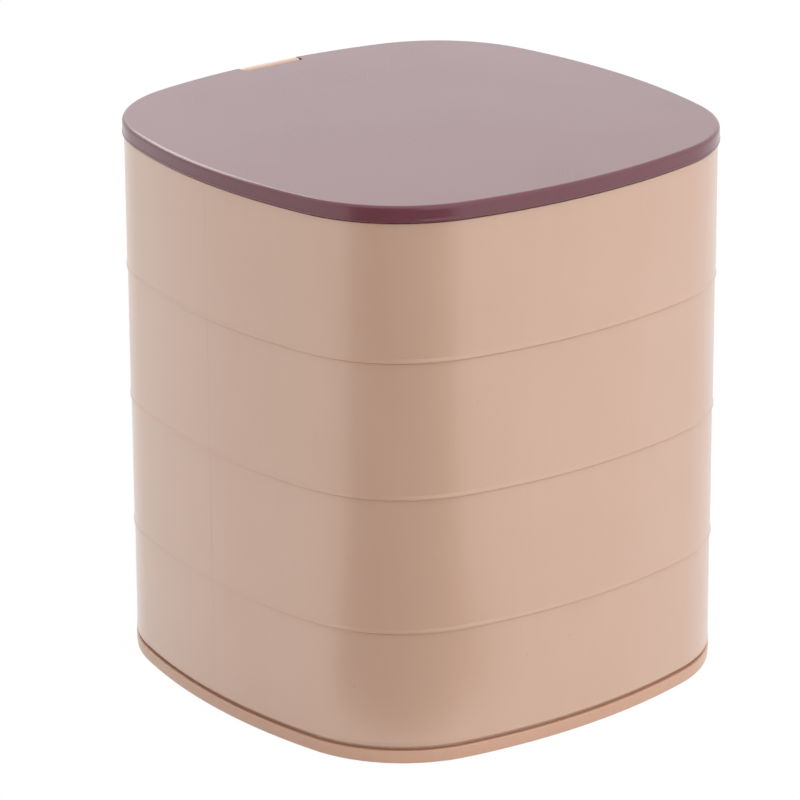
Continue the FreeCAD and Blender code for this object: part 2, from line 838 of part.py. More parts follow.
def main():
    """Build every sub-part and write it to its own file."""
    bodies = [
        make_base_plate(),
        make_feet(),
        make_screw("foot_screw", "foot_stand + screw_seat", "foot_screw_length", upward=True),
        make_bottom_tray(),
        make_middle_tray("tray_lower", "lower_level", ["0"], []),
        make_middle_tray("tray_upper", "upper_level", ["0"], ["0"]),
        make_top_tray(),
        make_post(),
        make_spacer("spacer_bottom", "bottom_rim"),
        make_spacer("spacer_lower", "lower_level + tray_height"),
        make_spacer("spacer_upper", "upper_level + tray_height"),
        make_spring_washer(),
        make_retaining_washer(),
        make_screw("retaining_screw", "post_end + washer_thickness", "end_screw_length",
                   upward=False),
        make_cap(),
        make_lid_shell(),
        make_hinge_keeper(),
        make_mirror(),
        make_tape(),
        make_pin(),
    ]
    doc.recompute()
    check(bodies)
    os.makedirs("parts", exist_ok=True)
    for body in bodies:
        body.Shape.exportStep(f"parts/{body.Label}.step")
        box = body.Shape.BoundBox
        print(f"{body.Label}: {len(body.Shape.Solids)} solid(s), {body.Shape.Volume:.1f} mm3, "
              f"z {box.ZMin:.2f} to {box.ZMax:.2f}")


main()
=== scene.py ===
import logging
import math
from dataclasses import dataclass, field
from enum import Enum
from typing import Any

import bmesh
import bpy
import numpy as np
from mathutils import Matrix, Vector


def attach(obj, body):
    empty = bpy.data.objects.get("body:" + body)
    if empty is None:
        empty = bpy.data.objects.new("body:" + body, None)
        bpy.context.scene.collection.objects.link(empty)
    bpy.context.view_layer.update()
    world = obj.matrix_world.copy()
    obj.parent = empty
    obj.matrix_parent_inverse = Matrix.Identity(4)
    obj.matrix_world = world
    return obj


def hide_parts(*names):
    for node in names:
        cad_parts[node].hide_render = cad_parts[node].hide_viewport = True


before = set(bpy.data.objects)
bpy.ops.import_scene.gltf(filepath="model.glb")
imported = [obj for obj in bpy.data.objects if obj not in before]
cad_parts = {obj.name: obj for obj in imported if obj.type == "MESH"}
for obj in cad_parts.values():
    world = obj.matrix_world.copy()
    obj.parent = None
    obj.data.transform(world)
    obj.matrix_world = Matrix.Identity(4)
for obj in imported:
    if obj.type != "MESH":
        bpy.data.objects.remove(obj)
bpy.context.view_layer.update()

logging.basicConfig(level=logging.INFO, format="%(message)s")
log = logging.getLogger("accessory_box")

MM = 0.001
Colour = tuple[float, float, float, float]
Point = tuple[float, float]


def shade(red: int, green: int, blue: int) -> Colour:
    """Turn a colour as it looks on a screen, 0 to 255, into the linear colour a shader takes.

    Args:
        red, green, blue: The colour's three parts.

    Returns:
        The linear colour with full cover.
    """
    parts = np.array([red, green, blue]) / 255
    linear = np.where(parts <= 0.04045, parts / 12.92, ((parts + 0.055) / 1.055) ** 2.4)
    return (float(linear[0]), float(linear[1]), float(linear[2]), 1.0)


# Shader bench


class Wire:
    """A shader socket that takes part in sums and products."""

    def __init__(self, bench: "Bench", socket: bpy.types.NodeSocket) -> None:
        """Hold the bench that the socket is on."""
        self.bench = bench
        self.socket = socket

    def __add__(self, other: "Wire | float") -> "Wire":
        """Add two values."""
        return self.bench.maths("ADD", self, other)

    def __radd__(self, other: float) -> "Wire":
        """Add a value to a number."""
        return self.bench.maths("ADD", other, self)

    def __sub__(self, other: "Wire | float") -> "Wire":
        """Take a value off this one."""
        return self.bench.maths("SUBTRACT", self, other)

    def __rsub__(self, other: float) -> "Wire":
        """Take this value off a number."""
        return self.bench.maths("SUBTRACT", other, self)

    def __mul__(self, other: "Wire | float") -> "Wire":
        """Multiply two values."""
        return self.bench.maths("MULTIPLY", self, other)

    def __rmul__(self, other: float) -> "Wire":
        """Multiply a number by this value."""
        return self.bench.maths("MULTIPLY", other, self)

    def size(self) -> "Wire":
        """Drop the value's sign."""
        return self.bench.maths("ABSOLUTE", self)

    def limited(self) -> "Wire":
        """Keep the value between 0 and 1."""
        return self.bench.node("ShaderNodeClamp", {}, {0: self})


class Bench:
    """The node tree of one material or world, with one method that adds any node."""

    def __init__(self, tree: bpy.types.NodeTree) -> None:
        """Clear the tree."""
        self.tree = tree
        tree.nodes.clear()

    def node(self, kind: str, settings: dict[str, Any], inputs: dict[Any, Any],
             output: Any = 0) -> Wire:
        """Add a node.

        Args:
            kind: The node's type.
            settings: What is set before anything is linked.
            inputs: Values or wires by the socket's name or number.
            output: The name or number of the socket that is handed back.

        Returns:
            The chosen output socket.
        """
        made = self.tree.nodes.new(kind)
        for key, setting in settings.items():
            setattr(made, key, setting)
        for key, given in inputs.items():
            if isinstance(given, Wire):
                self.tree.links.new(given.socket, made.inputs[key])
            else:
                made.inputs[key].default_value = given
        return Wire(self, made.outputs[output])

    def maths(self, operation: str, first: Wire | float, second: Wire | float = 0.0) -> Wire:
        """Work out one step on plain values."""
        return self.node("ShaderNodeMath", {"operation": operation}, {0: first, 1: second})

    def blend(self, share: Wire | float, first: Wire | Colour, second: Wire | Colour) -> Wire:
        """Mix two colours: a share of 0 gives the first."""
        return self.node("ShaderNodeMix", {"data_type": "RGBA"},
                         {0: share, 6: first, 7: second}, 2)

    def place(self, stretch: tuple[float, float, float] = (1, 1, 1)) -> Wire:
        """Return the object's coordinates in metres, stretched."""
        spot = self.node("ShaderNodeTexCoord", {}, {}, "Object")
        return self.node("ShaderNodeMapping", {}, {"Vector": spot, "Scale": stretch})

    def part(self, axis: str) -> Wire:
        """Return one of the object's coordinates in metres."""
        return self.node("ShaderNodeSeparateXYZ", {}, {"Vector": self.place()}, axis)

    def noise(self, size: float, detail: float = 2.0,
              stretch: tuple[float, float, float] = (1, 1, 1)) -> Wire:
        """Return a cloud pattern.

        Args:
            size: About how large its marks are, in millimetres.
            detail: How many finer layers it has.
            stretch: How the object's coordinates are stretched first.

        Returns:
            The pattern, around 0.5.
        """
        return self.node("ShaderNodeTexNoise", {},
                         {"Vector": self.place(stretch), "Scale": 1 / (size * MM),
                          "Detail": detail})

    def dots(self, spacing: float) -> Wire:
        """Return the distance to the nearest of scattered dots, as a share of their spacing."""
        return self.node("ShaderNodeTexVoronoi", {},
                         {"Vector": self.place(), "Scale": 1 / (spacing * MM)}, "Distance")

    def ramp(self, value: Wire, low: float, high: float) -> Wire:
        """Spread a value from low to high over 0 to 1, and cut off what lies outside."""
        return self.node("ShaderNodeMapRange", {},
                         {"Value": value, "From Min": low, "From Max": high})

    def bump(self, height: Wire, depth: float, strength: float) -> Wire:
        """Turn a height pattern into a surface relief of a depth in millimetres."""
        return self.node("ShaderNodeBump", {},
                         {"Height": height, "Strength": strength, "Distance": depth * MM})

    def surface(self, inputs: dict[str, Any]) -> Wire:
        """Add the main shader."""
        return self.node("ShaderNodeBsdfPrincipled", {}, inputs)

    def finish(self, shader: Wire, kind: str = "ShaderNodeOutputMaterial") -> None:
        """Send a shader to the output."""
        out = self.tree.nodes.new(kind)
        self.tree.links.new(shader.socket, out.inputs["Surface"])


def seen_directly(bench: Bench) -> Wire:
    """Return 1 for what the camera, a mirror or glass sees, and 0 for light that falls on things.

    Args:
        bench: The bench of the material or world.

    Returns:
        The mask.
    """
    camera = bench.node("ShaderNodeLightPath", {}, {}, "Is Camera Ray")
    glossy = bench.node("ShaderNodeLightPath", {}, {}, "Is Glossy Ray")
    through = bench.node("ShaderNodeLightPath", {}, {}, "Is Transmission Ray")
    return (camera + glossy + through).limited()


# Finishes


class Finish:
    """A material that is made once and shared by the pieces that have it."""

    name: str

    def build(self, bench: Bench) -> Wire:
        """Return the finish's shader."""
        raise NotImplementedError

    def material(self) -> bpy.types.Material:
        """Return the material, made at the first call.

        Returns:
            The material.
        """
        found = bpy.data.materials.get(self.name)
        if found:
            return found
        made = bpy.data.materials.new(self.name)
        made.use_nodes = True
        bench = Bench(made.node_tree)
        bench.finish(self.build(bench))
        return made


@dataclass(frozen=True)
class MouldedPlastic(Finish):
    """Satin moulded plastic: a fine grain, soft clouds of tone, faint flow marks and specks.

    Sizes are in millimetres. The weld line is the faint upright mark on the side towards -X
    where the plastic met itself in the mould. It fades from its core to its edge, and its place
    drifts a little with height.
    """

    name: str
    colour: Colour
    warm: Colour
    roughness: float
    sheen: float
    coat: float
    grain: float
    flow: float
    specks: float
    weld: float = 0.0
    mark_colour: Colour = shade(96, 70, 58)
    cloud_size: float = 24.0
    grain_size: float = 0.28
    streak_size: float = 3.2
    speck_spacing: float = 5.5
    weld_place: float = 0.3
    weld_core: float = 0.03
    weld_edge: float = 0.22
    weld_drift: float = 0.6
    weld_face: float = -45.0

    def weld_line(self, bench: Bench) -> Wire:
        """Return the mask of the weld line.

        Args:
            bench: The material's bench.

        Returns:
            1 in the line's core and 0 beyond its edge.
        """
        drift = (bench.noise(30, 1) - 0.5) * (self.weld_drift * MM)
        away = (bench.part("Y") - self.weld_place * MM + drift).size()
        line_mask = 1 - bench.ramp(away, self.weld_core * MM, self.weld_edge * MM)
        face = self.weld_face * MM
        return line_mask * (1 - bench.ramp(bench.part("X"), face, face + MM))

    def build(self, bench: Bench) -> Wire:
        """Return the plastic's shader.

        Args:
            bench: The material's bench.

        Returns:
            The shader.
        """
        clouds = bench.noise(self.cloud_size, 3)
        fine = bench.noise(self.grain_size, 2)
        streaks = bench.noise(self.streak_size, 2, (1, 1, 0.12))
        share = (clouds * 0.7 + streaks * self.flow).limited()
        tone = bench.blend(bench.ramp(share, 0.25, 0.75), self.colour, self.warm)
        dot = (1 - bench.ramp(bench.dots(self.speck_spacing), 0.012, 0.03)) * self.specks
        line_mark = self.weld_line(bench) * bench.ramp(streaks, 0.3, 0.7) * self.weld
        colour = bench.blend((dot + line_mark).limited(), tone, self.mark_colour)
        rough = self.roughness + (clouds - 0.5) * 0.10 + (fine - 0.5) * 0.08
        relief = bench.bump(fine + streaks * 0.6, self.grain, 0.6)
        return bench.surface({"Base Color": colour, "Roughness": rough, "Normal": relief,
                              "Coat Weight": self.coat, "Coat Roughness": self.roughness * 0.8,
                              "Specular IOR Level": self.sheen, "IOR": 1.5})


@dataclass(frozen=True)
class TurnedSteel(Finish):
    """Turned steel: fine rings round the post's axis and a slightly uneven polish."""

    name: str
    colour: Colour
    roughness: float
    shadow: float = 0.82

    def build(self, bench: Bench) -> Wire:
        """Return the steel's shader.

        Args:
            bench: The material's bench.

        Returns:
            The shader.
        """
        lines = bench.noise(0.10, 2, (0.06, 0.06, 1))
        patches = bench.noise(6, 2)
        red, green, blue, _ = self.colour
        darker = (red * self.shadow, green * self.shadow, blue * (self.shadow + 0.02), 1.0)
        rough = self.roughness + (lines - 0.5) * 0.18 + (patches - 0.5) * 0.08
        return bench.surface({"Base Color": bench.blend(patches, self.colour, darker),
                              "Roughness": rough, "Metallic": 1.0,
                              "Normal": bench.bump(lines, 0.012, 0.5)})


@dataclass(frozen=True)
class SilveredGlass(Finish):
    """Mirror glass: bright, almost even, with a faint haze."""

    name: str
    colour: Colour
    hazy: Colour

    def build(self, bench: Bench) -> Wire:
        """Return the mirror's shader.

        Args:
            bench: The material's bench.

        Returns:
            The shader.
        """
        haze = bench.noise(18, 4)
        return bench.surface({"Base Color": bench.blend(haze * 0.25, self.colour, self.hazy),
                              "Roughness": 0.012 + haze * 0.02, "Metallic": 1.0})


@dataclass(frozen=True)
class SoftMatte(Finish):
    """Rubber, nylon or foam: matte, with a grain of its own size and depth in millimetres."""

    name: str
    colour: Colour
    other: Colour
    grain_size: float
    depth: float
    roughness: float

    def build(self, bench: Bench) -> Wire:
        """Return the matte shader.

        Args:
            bench: The material's bench.

        Returns:
            The shader.
        """
        grain = bench.noise(self.grain_size, 3)
        share = (grain * 0.5 + bench.noise(7, 2) * 0.5).limited()
        return bench.surface({"Base Color": bench.blend(share, self.colour, self.other),
                              "Roughness": self.roughness + (grain - 0.5) * 0.12,
                              "Normal": bench.bump(grain, self.depth, 0.7)})


@dataclass(frozen=True)
class StudioFloor(Finish):
    """The pale sheet under the object, which the camera sees almost white."""

    name: str = "studio_floor"
    glow: float = 0.985
    sheet: Colour = (0.92, 0.92, 0.92, 1.0)
    white: Colour = (1.0, 1.0, 1.0, 1.0)

    def build(self, bench: Bench) -> Wire:
        """Return the floor's shader, which glows for the camera, mirrors and glass alone.

        Args:
            bench: The material's bench.

        Returns:
            The shader.
        """
        sheet = bench.node("ShaderNodeBsdfDiffuse", {}, {"Color": self.sheet})
        white = bench.node("ShaderNodeEmission", {}, {"Color": self.white, "Strength": 1.0})
        return bench.node("ShaderNodeMixShader", {},
                          {0: seen_directly(bench) * self.glow, 1: sheet, 2: white})


BODY = MouldedPlastic("peach_satin_plastic", shade(198, 160, 137), shade(194, 155, 131),
                      roughness=0.36, sheen=1.0, coat=0.9, grain=0.006, flow=0.3, specks=0.55,
                      weld=0.22)
# The base plate's peach is the body's peach made a little lighter and more orange: painted bounce
# light from the floor, on a plate of the same plastic.
PLATE_PAINTED_BOUNCE = MouldedPlastic("peach_plastic_painted_floor_bounce", shade(201, 159, 133), shade(197, 153, 127),
                       roughness=0.4, sheen=0.6, coat=0.4, grain=0.008, flow=0.3, specks=0.55)
LID = MouldedPlastic("plum_gloss_plastic", shade(109, 59, 69), shade(103, 55, 64),
                     roughness=0.25, sheen=0.45, coat=0.35, grain=0.003, flow=0.2, specks=0.0)
STEEL = TurnedSteel("turned_bright_steel", shade(201, 202, 204), 0.24)
SPRING = TurnedSteel("dark_spring_steel", shade(150, 150, 156), 0.34)
MIRROR = SilveredGlass("silvered_glass", shade(236, 238, 238), shade(222, 226, 227))
NYLON = SoftMatte("white_nylon", shade(240, 239, 233), shade(229, 227, 219), 0.4, 0.01, 0.42)
RUBBER = SoftMatte("soft_rubber", shade(88, 80, 78), shade(74, 67, 65), 0.35, 0.03, 0.8)
FOAM = SoftMatte("foam_tape", shade(232, 231, 224), shade(214, 212, 204), 0.3, 0.05, 0.9)
CARD = SoftMatte("card", shade(40, 38, 38), shade(34, 33, 33), 2.0, 0.01, 0.9)


# Surfaces, in millimetres


@dataclass(frozen=True)
class Solid:
    """A closed surface: its points, and its faces as lists of point numbers."""

    points: np.ndarray
    faces: list[list[int]]

    def joined(self, other: "Solid") -> "Solid":
        """Return both solids in one mesh."""
        moved = [[number + len(self.points) for number in face] for face in other.faces]
        return Solid(np.vstack([self.points, other.points]), self.faces + moved)

    def quarter_turned(self, place: float) -> "Solid":
        """Return a strip that lies at a y turned a quarter, so that it lies at the same x."""
        turn = np.array([[0.0, 1.0, 0.0], [-1.0, 0.0, 0.0], [0.0, 0.0, 1.0]])
        return Solid((self.points - [0, place, 0]) @ turn + [place, 0, 0], self.faces)


class Ends(Enum):
    """How a stack of rings closes."""

    FAN = "each end on its own middle"
    FLAT = "each end with one flat face"
    LOOP = "the last ring on the first"


def loft(rings: np.ndarray, ends: Ends = Ends.FAN) -> Solid:
    """Skin a stack of rings.

    A point of the surface is ring i's point j. Each four neighbours make a face.

    Args:
        rings: Rows of rings of points, shape (rows, columns, 3). Columns run anticlockwise and
            rows run upwards on an outer wall.
        ends: How the stack closes.

    Returns:
        The closed solid.
    """
    rows, columns = rings.shape[:2]
    number = np.arange(rows * columns).reshape(rows, columns)
    if ends is Ends.LOOP:
        number = np.vstack([number, number[:1]])
    low, high = number[:-1], number[1:]
    quads = np.stack([low, np.roll(low, -1, 1), np.roll(high, -1, 1), high], -1)
    faces = quads.reshape(-1, 4).tolist()
    points = rings.reshape(-1, 3)
    first, last = number[0], number[-1]
    if ends is Ends.FLAT:
        faces += [first[::-1].tolist(), last.tolist()]
    elif ends is Ends.FAN:
        middle = len(points)
        points = np.vstack([points, rings[0].mean(0), rings[-1].mean(0)])
        low_fan = np.stack([np.full(columns, middle), np.roll(first, -1), first], -1)
        high_fan = np.stack([np.full(columns, middle + 1), last, np.roll(last, -1)], -1)
        faces += low_fan.tolist() + high_fan.tolist()
    return Solid(points, faces)


def bend(out: float, rise: float, radius: float, start: float, end: float,
         steps: int = 5) -> np.ndarray:
    """Return an arc of a profile: middle plus radius times the cosine and sine of the angle.

    Args:
        out, rise: The arc's middle.
        radius: Its radius.
        start, end: Its first and last angles in degrees.
        steps: How many pieces it is cut into.

    Returns:
        Points of shape (steps + 1, 2).
    """
    angle = np.radians(np.linspace(start, end, steps + 1))
    return np.stack([out + radius * np.cos(angle), rise + radius * np.sin(angle)], -1)


def line(*points: Point) -> np.ndarray:
    """Return straight pieces of a profile."""
    return np.array(points, float)


def turned(profile: np.ndarray, centre: Point, count: int = 72,
           ends: Ends = Ends.FAN) -> Solid:
    """Turn a profile of radius and height about an upright axis.

    A point is the centre plus the radius times the cosine and sine of the turn, at the
    profile's height.

    Args:
        profile: Points of radius and height.
        centre: The axis in plan.
        count: Points in a ring.
        ends: How the profile closes: in a loop for a washer's section.

    Returns:
        The closed solid.
    """
    turn = np.linspace(0, 2 * math.pi, count, endpoint=False)
    around = np.stack([np.cos(turn), np.sin(turn)], -1)
    plan = np.array(centre) + profile[:, None, :1] * around[None]
    height = np.repeat(profile[:, 1, None, None], count, axis=1)
    return loft(np.concatenate([plan, height], -1), ends)


def drum(radius: float, low: float, high: float, centre: Point) -> Solid:
    """Return a plain round tool that stands between two levels."""
    return turned(line((radius, low), (radius, high)), centre)


def side_normals(outline: np.ndarray) -> tuple[np.ndarray, np.ndarray]:
    """Return the outward normals of the sides that leave and reach each point of an outline.

    Args:
        outline: Points of a closed outline, anticlockwise.

    Returns:
        The normals of the sides ahead and behind, each of shape (count, 2).
    """
    ahead = np.roll(outline, -1, 0) - outline
    ahead /= np.linalg.norm(ahead, axis=1, keepdims=True)
    behind = np.roll(ahead, 1, 0)
    return (np.stack([ahead[:, 1], -ahead[:, 0]], -1),
            np.stack([behind[:, 1], -behind[:, 0]], -1))


def prism(outline: np.ndarray, low: float, high: float, edge: float = 0.0) -> Solid:
    """Raise a plan outline into a block whose edges are broken.

    A point is the outline's point, moved in at both ends so that each side moves in by the
    edge.

    Args:
        outline: Points in plan, anticlockwise.
        low, high: The block's levels.
        edge: How far the edges are broken.

    Returns:
        The closed solid.
    """
    side, other = side_normals(outline)
    normal = (side + other) / (1 + (side * other).sum(1, keepdims=True))
    rows = [(edge, low), (0.0, low + edge), (0.0, high - edge), (edge, high)]
    if edge == 0:
        rows = [(0.0, low), (0.0, high)]
    rings = [np.column_stack([outline - inset * normal, np.full(len(outline), level)])
             for inset, level in rows]
    return loft(np.stack(rings), Ends.FLAT)


def soft_box(low: Point, high: Point, radius: float, steps: int = 4) -> np.ndarray:
    """Return a rectangle in plan with rounded corners, anticlockwise from its lower right.

    Args:
        low, high: Its opposite corners.
        radius: The corners' radius.
        steps: How many pieces a corner is cut into.

    Returns:
        The outline's points.
    """
    corners = ((high[0] - radius, low[1] + radius, -90), (high[0] - radius, high[1] - radius, 0),
               (low[0] + radius, high[1] - radius, 90), (low[0] + radius, low[1] + radius, 180))
    return np.vstack([bend(across, along, radius, start, start + 90, steps)
                      for across, along, start in corners])


def box_about(centre: Point, half: Point, radius: float, steps: int = 4) -> np.ndarray:
    """Return a rounded rectangle about a centre, from its half width and half depth."""
    (x, y), (across, along) = centre, half
    return soft_box((x - across, y - along), (x + across, y + along), radius, steps)


def hexagon(centre: Point, flat: float) -> np.ndarray:
    """Return a six-sided outline in plan.

    Args:
        centre: Its middle.
        flat: Its middle's distance to a side.

    Returns:
        The outline's points, anticlockwise.
    """
    turn = np.linspace(0, 2 * math.pi, 6, endpoint=False)
    radius = flat / math.cos(math.pi / 6)
    return np.array(centre) + radius * np.stack([np.cos(turn), np.sin(turn)], -1)


@dataclass(frozen=True)
class Sag:
    """How the outer points of a slid section draw in to follow the wall's long arc.

    A point draws in by the square of its x times the rate. The effect grows from none at the
    start to its full size after the run.
    """

    rate: float = 0.0
    start: float = 0.0
    run: float = 1.2


def slide(section: np.ndarray, low: float, high: float, round_end: float = 0.0,
          sag: Sag = Sag()) -> Solid:
    """Carry a section of y and z along x.

    A point is the section's point at its x. At each end the section shrinks along its own
    normals by a quarter round.

    Args:
        section: Points of y and z, anticlockwise when seen from +x.
        low, high: The ends in x.
        round_end: The radius of the ends' edges.
        sag: How the outer points draw in.

    Returns:
        The closed solid.
    """
    step = np.linalg.norm(np.roll(section, -1, 0) - section, axis=1)
    base = section[step > 1e-6]
    side, other = side_normals(base)
    normal = side + other
    normal /= np.linalg.norm(normal, axis=1, keepdims=True)
    turn = np.radians(np.linspace(0, 90, 5)) if round_end else np.array([math.pi / 2])
    first = np.stack([low + round_end * (1 - np.cos(turn)), round_end * (1 - np.sin(turn))], -1)
    last = np.stack([high - (first[::-1, 0] - low), first[::-1, 1]], -1)
    middle = np.stack([np.linspace(low + round_end, high - round_end, 9)[1:-1], np.zeros(7)], -1)
    rings = []
    for across, inset in np.vstack([first, middle, last]):
        plan = base - inset * normal
        share = np.clip((plan[:, 0] - sag.start) / sag.run, 0, 1)
        drawn = plan[:, 0] - share * sag.rate * across ** 2
        rings.append(np.column_stack([np.full(len(base), across), drawn, plan[:, 1]]))
    return loft(np.stack(rings), Ends.FLAT)


@dataclass(frozen=True)
class Plan:
    """The box's plan outline: four long side arcs joined by four corner arcs."""

    half_width: float = 51.0
    side_radius: float = 123.0
    corner_radius: float = 27.3
    side_steps: int = 24
    corner_steps: int = 22

    def side_centre(self) -> float:
        """Return how far behind the middle a side arc's own middle lies."""
        return self.side_radius - self.half_width

    def corner_centre(self) -> float:
        """Return where on both axes a corner arc's middle lies.

        The middle's distance from a side arc's own middle is the two radii's difference.

        Returns:
            The place in millimetres.
        """
        step = self.side_radius - self.corner_radius
        side = self.side_centre()
        return (math.sqrt(2 * step ** 2 - side ** 2) - side) / 2

    def reach(self, place: float, inset: float) -> float:
        """Return how far from the middle a side lies, at a place along it and an inset."""
        return math.sqrt((self.side_radius - inset) ** 2 - place ** 2) - self.side_centre()

    def outline(self) -> tuple[np.ndarray, np.ndarray]:
        """Return the outline's points and outward normals.

        A point is its arc's middle plus the arc's radius times the normal, and the normal turns
        evenly along each arc. One quarter is worked out and turned three times.

        Returns:
            Points and normals, each of shape (count, 2).
        """
        lean = math.atan2(self.corner_centre(), self.corner_centre() + self.side_centre())
        side = np.linspace(-lean, lean, self.side_steps, endpoint=False)
        corner = np.linspace(lean, math.pi / 2 - lean, self.corner_steps, endpoint=False)
        angle = np.concatenate([side, corner])
        normal = np.stack([np.cos(angle), np.sin(angle)], -1)
        on_side = (np.arange(len(angle)) < len(side))[:, None]
        radius = np.where(on_side, self.side_radius, self.corner_radius)
        middle = np.where(on_side, [[-self.side_centre(), 0.0]],
                          [[self.corner_centre(), self.corner_centre()]])
        point = middle + radius * normal
        turns = [np.array([[math.cos(q), math.sin(q)], [-math.sin(q), math.cos(q)]])
                 for q in np.arange(4) * math.pi / 2]
        return (np.vstack([point @ turn for turn in turns]),
                np.vstack([normal @ turn for turn in turns]))

    def swept(self, profile: np.ndarray) -> Solid:
        """Carry a profile round the outline.

        A point is the outline's point moved along its normal by the profile's first number, at
        the height of its second.

        Args:
            profile: Points of outward reach and height, from the middle of the underside,
                outwards, up, inwards and back to the middle.

        Returns:
            The closed solid.
        """
        point, normal = self.outline()
        plan = point[None] + profile[:, None, :1] * normal[None]
        height = np.repeat(profile[:, 1, None, None], len(point), axis=1)
        return loft(np.concatenate([plan, height], -1))


# What the pieces share, in millimetres


# A swept profile starts and ends this far inside the outline, clear of every wall.
FAR_IN = -12.0
PLAN = Plan()


@dataclass(frozen=True)
class Post:
    """The post that the trays turn on, and what fits round it."""

    from_corner: float = 9.4
    shaft_radius: float = 3.0
    play: float = 0.06
    screw_hole: float = 1.55
    screw_radius: float = 1.5
    foot_flat: float = 5.0
    foot_level: float = 3.2
    foot_height: float = 3.0
    end: float = 99.0
    spacer_seat: float = 0.75
    seat_radius: float = 5.1

    def place(self) -> float:
        """Return where on both axes the post stands: on the corner arc's diagonal."""
        return PLAN.corner_centre() + (PLAN.corner_radius - self.from_corner) / math.sqrt(2)

    def axis(self) -> Point:
        """Return the post's place in plan."""
        return (self.place(), self.place())

    def bore(self) -> float:
        """Return the radius of the bores that turn on the shaft."""
        return self.shaft_radius + self.play


@dataclass(frozen=True)
class Hinge:
    """The lid's hinge, whose axis runs along x."""

    x: float = 1.0
    y: float = 49.65
    z: float = 108.95
    pin_radius: float = 0.5
    pin_half: float = 10.5
    wrap: float = 1.5


POST = Post()
AXIS = POST.axis()
HINGE = Hinge()


class Merge(Enum):
    """How a tool changes a piece."""

    ADD = "UNION"
    CUT = "DIFFERENCE"


class Piece:
    """A finished piece of the object in the making."""

    join_distance: float = 0.001
    sharp_angle: float = 34.0

    def __init__(self, name: str, solid: Solid) -> None:
        """Put the solid into a mesh."""
        self.item = self.raw(name, solid)

    @staticmethod
    def raw(name: str, solid: Solid) -> bpy.types.Object:
        """Make an object.

        Args:
            name: The object's name.
            solid: Its shape, in millimetres.

        Returns:
            The object, with its mesh in metres.
        """
        mesh = bpy.data.meshes.new(name)
        mesh.from_pydata((solid.points * MM).tolist(), [], solid.faces)
        mesh.update()
        made = bpy.data.objects.new(name, mesh)
        bpy.context.scene.collection.objects.link(made)
        return made

    def settle(self) -> "Piece":
        """Write the modifiers' result into the mesh.

        Returns:
            The piece.
        """
        bpy.context.view_layer.update()
        seen = self.item.evaluated_get(bpy.context.evaluated_depsgraph_get())
        mesh = bpy.data.meshes.new_from_object(seen)
        old = self.item.data
        self.item.modifiers.clear()
        self.item.data = mesh
        bpy.data.meshes.remove(old)
        mesh.name = self.item.name
        return self

    def merge(self, way: Merge, *tools: Solid) -> "Piece":
        """Add or cut away tools, one after the other.

        Args:
            way: Whether the tools are added or cut away.
            tools: The tools.

        Returns:
            The piece.
        """
        for tool in tools:
            other = self.raw("tool", tool)
            change = self.item.modifiers.new("change", "BOOLEAN")
            change.operation = way.value
            change.solver = "EXACT"
            change.object = other
            self.settle()
            bpy.data.meshes.remove(other.data)
        return self

    def softened(self, width: float, steps: int = 2, angle: float = 40) -> "Piece":
        """Round the sharp edges.

        Args:
            width: How much of each side is rounded away, in millimetres.
            steps: How many faces make the round.
            angle: How sharp an edge has to be, in degrees.

        Returns:
            The piece.
        """
        change = self.item.modifiers.new("soft_edges", "BEVEL")
        change.width = width * MM
        change.segments = steps
        change.limit_method = "ANGLE"
        change.angle_limit = math.radians(angle)
        change.use_clamp_overlap = True
        return self.settle()

    def raised(self, level: float) -> "Piece":
        """Lift the mesh to a level in millimetres."""
        self.item.data.transform(Matrix.Translation((0, 0, level * MM)))
        return self

    def closed(self) -> "Piece":
        """Join points that the merges left side by side, and fill the slits between them.

        Returns:
            The piece.
        """
        mesh = self.item.data
        work = bmesh.new()
        work.from_mesh(mesh)
        bmesh.ops.remove_doubles(work, verts=work.verts, dist=self.join_distance * MM)
        slits = [edge for edge in work.edges if edge.is_boundary]
        bmesh.ops.holes_fill(work, edges=slits, sides=4)
        work.to_mesh(mesh)
        work.free()
        return self

    def dressed(self, finish: Finish, body: str, node: str, slot: str) -> "Piece":
        """Give the piece its finish, the body that it rides on and the node that it stands for.

        Args:
            finish: The finish.
            body: The body that carries the piece.
            node: The node that it stands for.
            slot: The record's material slot; not used.

        Returns:
            The piece.
        """
        mesh = self.closed().item.data
        mesh.shade_smooth()
        mesh.set_sharp_from_angle(angle=math.radians(self.sharp_angle))
        mesh.materials.clear()
        mesh.materials.append(finish.material())
        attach(self.item, body)
        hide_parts(node)
        log.info("%s: %d faces on %s", self.item.name, len(mesh.polygons), body)
        return self


@dataclass(frozen=True)
class TrayEdges:
    """The outer edges of every tray: a fine bead below, and above a rim drawn in by draft."""

    bead_round: float = 0.12
    bead_reach: float = 0.18
    bead_drop: float = 0.2
    bead_from: float = -2.4
    wall_reach: float = 0.04
    top_reach: float = -0.09
    top_round: float = 0.15
    top_lift: float = 0.03

    def slope(self, level: float) -> np.ndarray:
        """Return how the bead runs out into the wall, above a level."""
        return line((self.bead_reach - 0.03, level), (self.wall_reach + 0.01, level + 0.34),
                    (self.wall_reach, level + 0.53))

    def low(self) -> np.ndarray:
        """Return a turning tray's lower edge, whose bead hangs below the underside.

        Returns:
            Points of outward reach and height, from the underside to the wall.
        """
        drop, small = self.bead_drop, self.bead_round
        slope = self.slope(0.22)
        slope[0] = (self.bead_reach, 0.20)
        return np.vstack([line((self.bead_from, 0), (self.bead_from + 0.1, -drop)),
                          bend(self.bead_reach - small, small - drop, small, -90, 0, 4), slope])

    def high(self, height: float) -> np.ndarray:
        """Return the upper edge of a tray.

        Args:
            height: The tray's height.

        Returns:
            Points of outward reach and height, from the wall to the rim.
        """
        small = self.top_round
        return np.vstack([line((self.top_reach + 0.01, height - 0.4)),
                          bend(self.top_reach - small, height - small + self.top_lift, small,
                               0, 90)])


EDGES = TrayEdges()


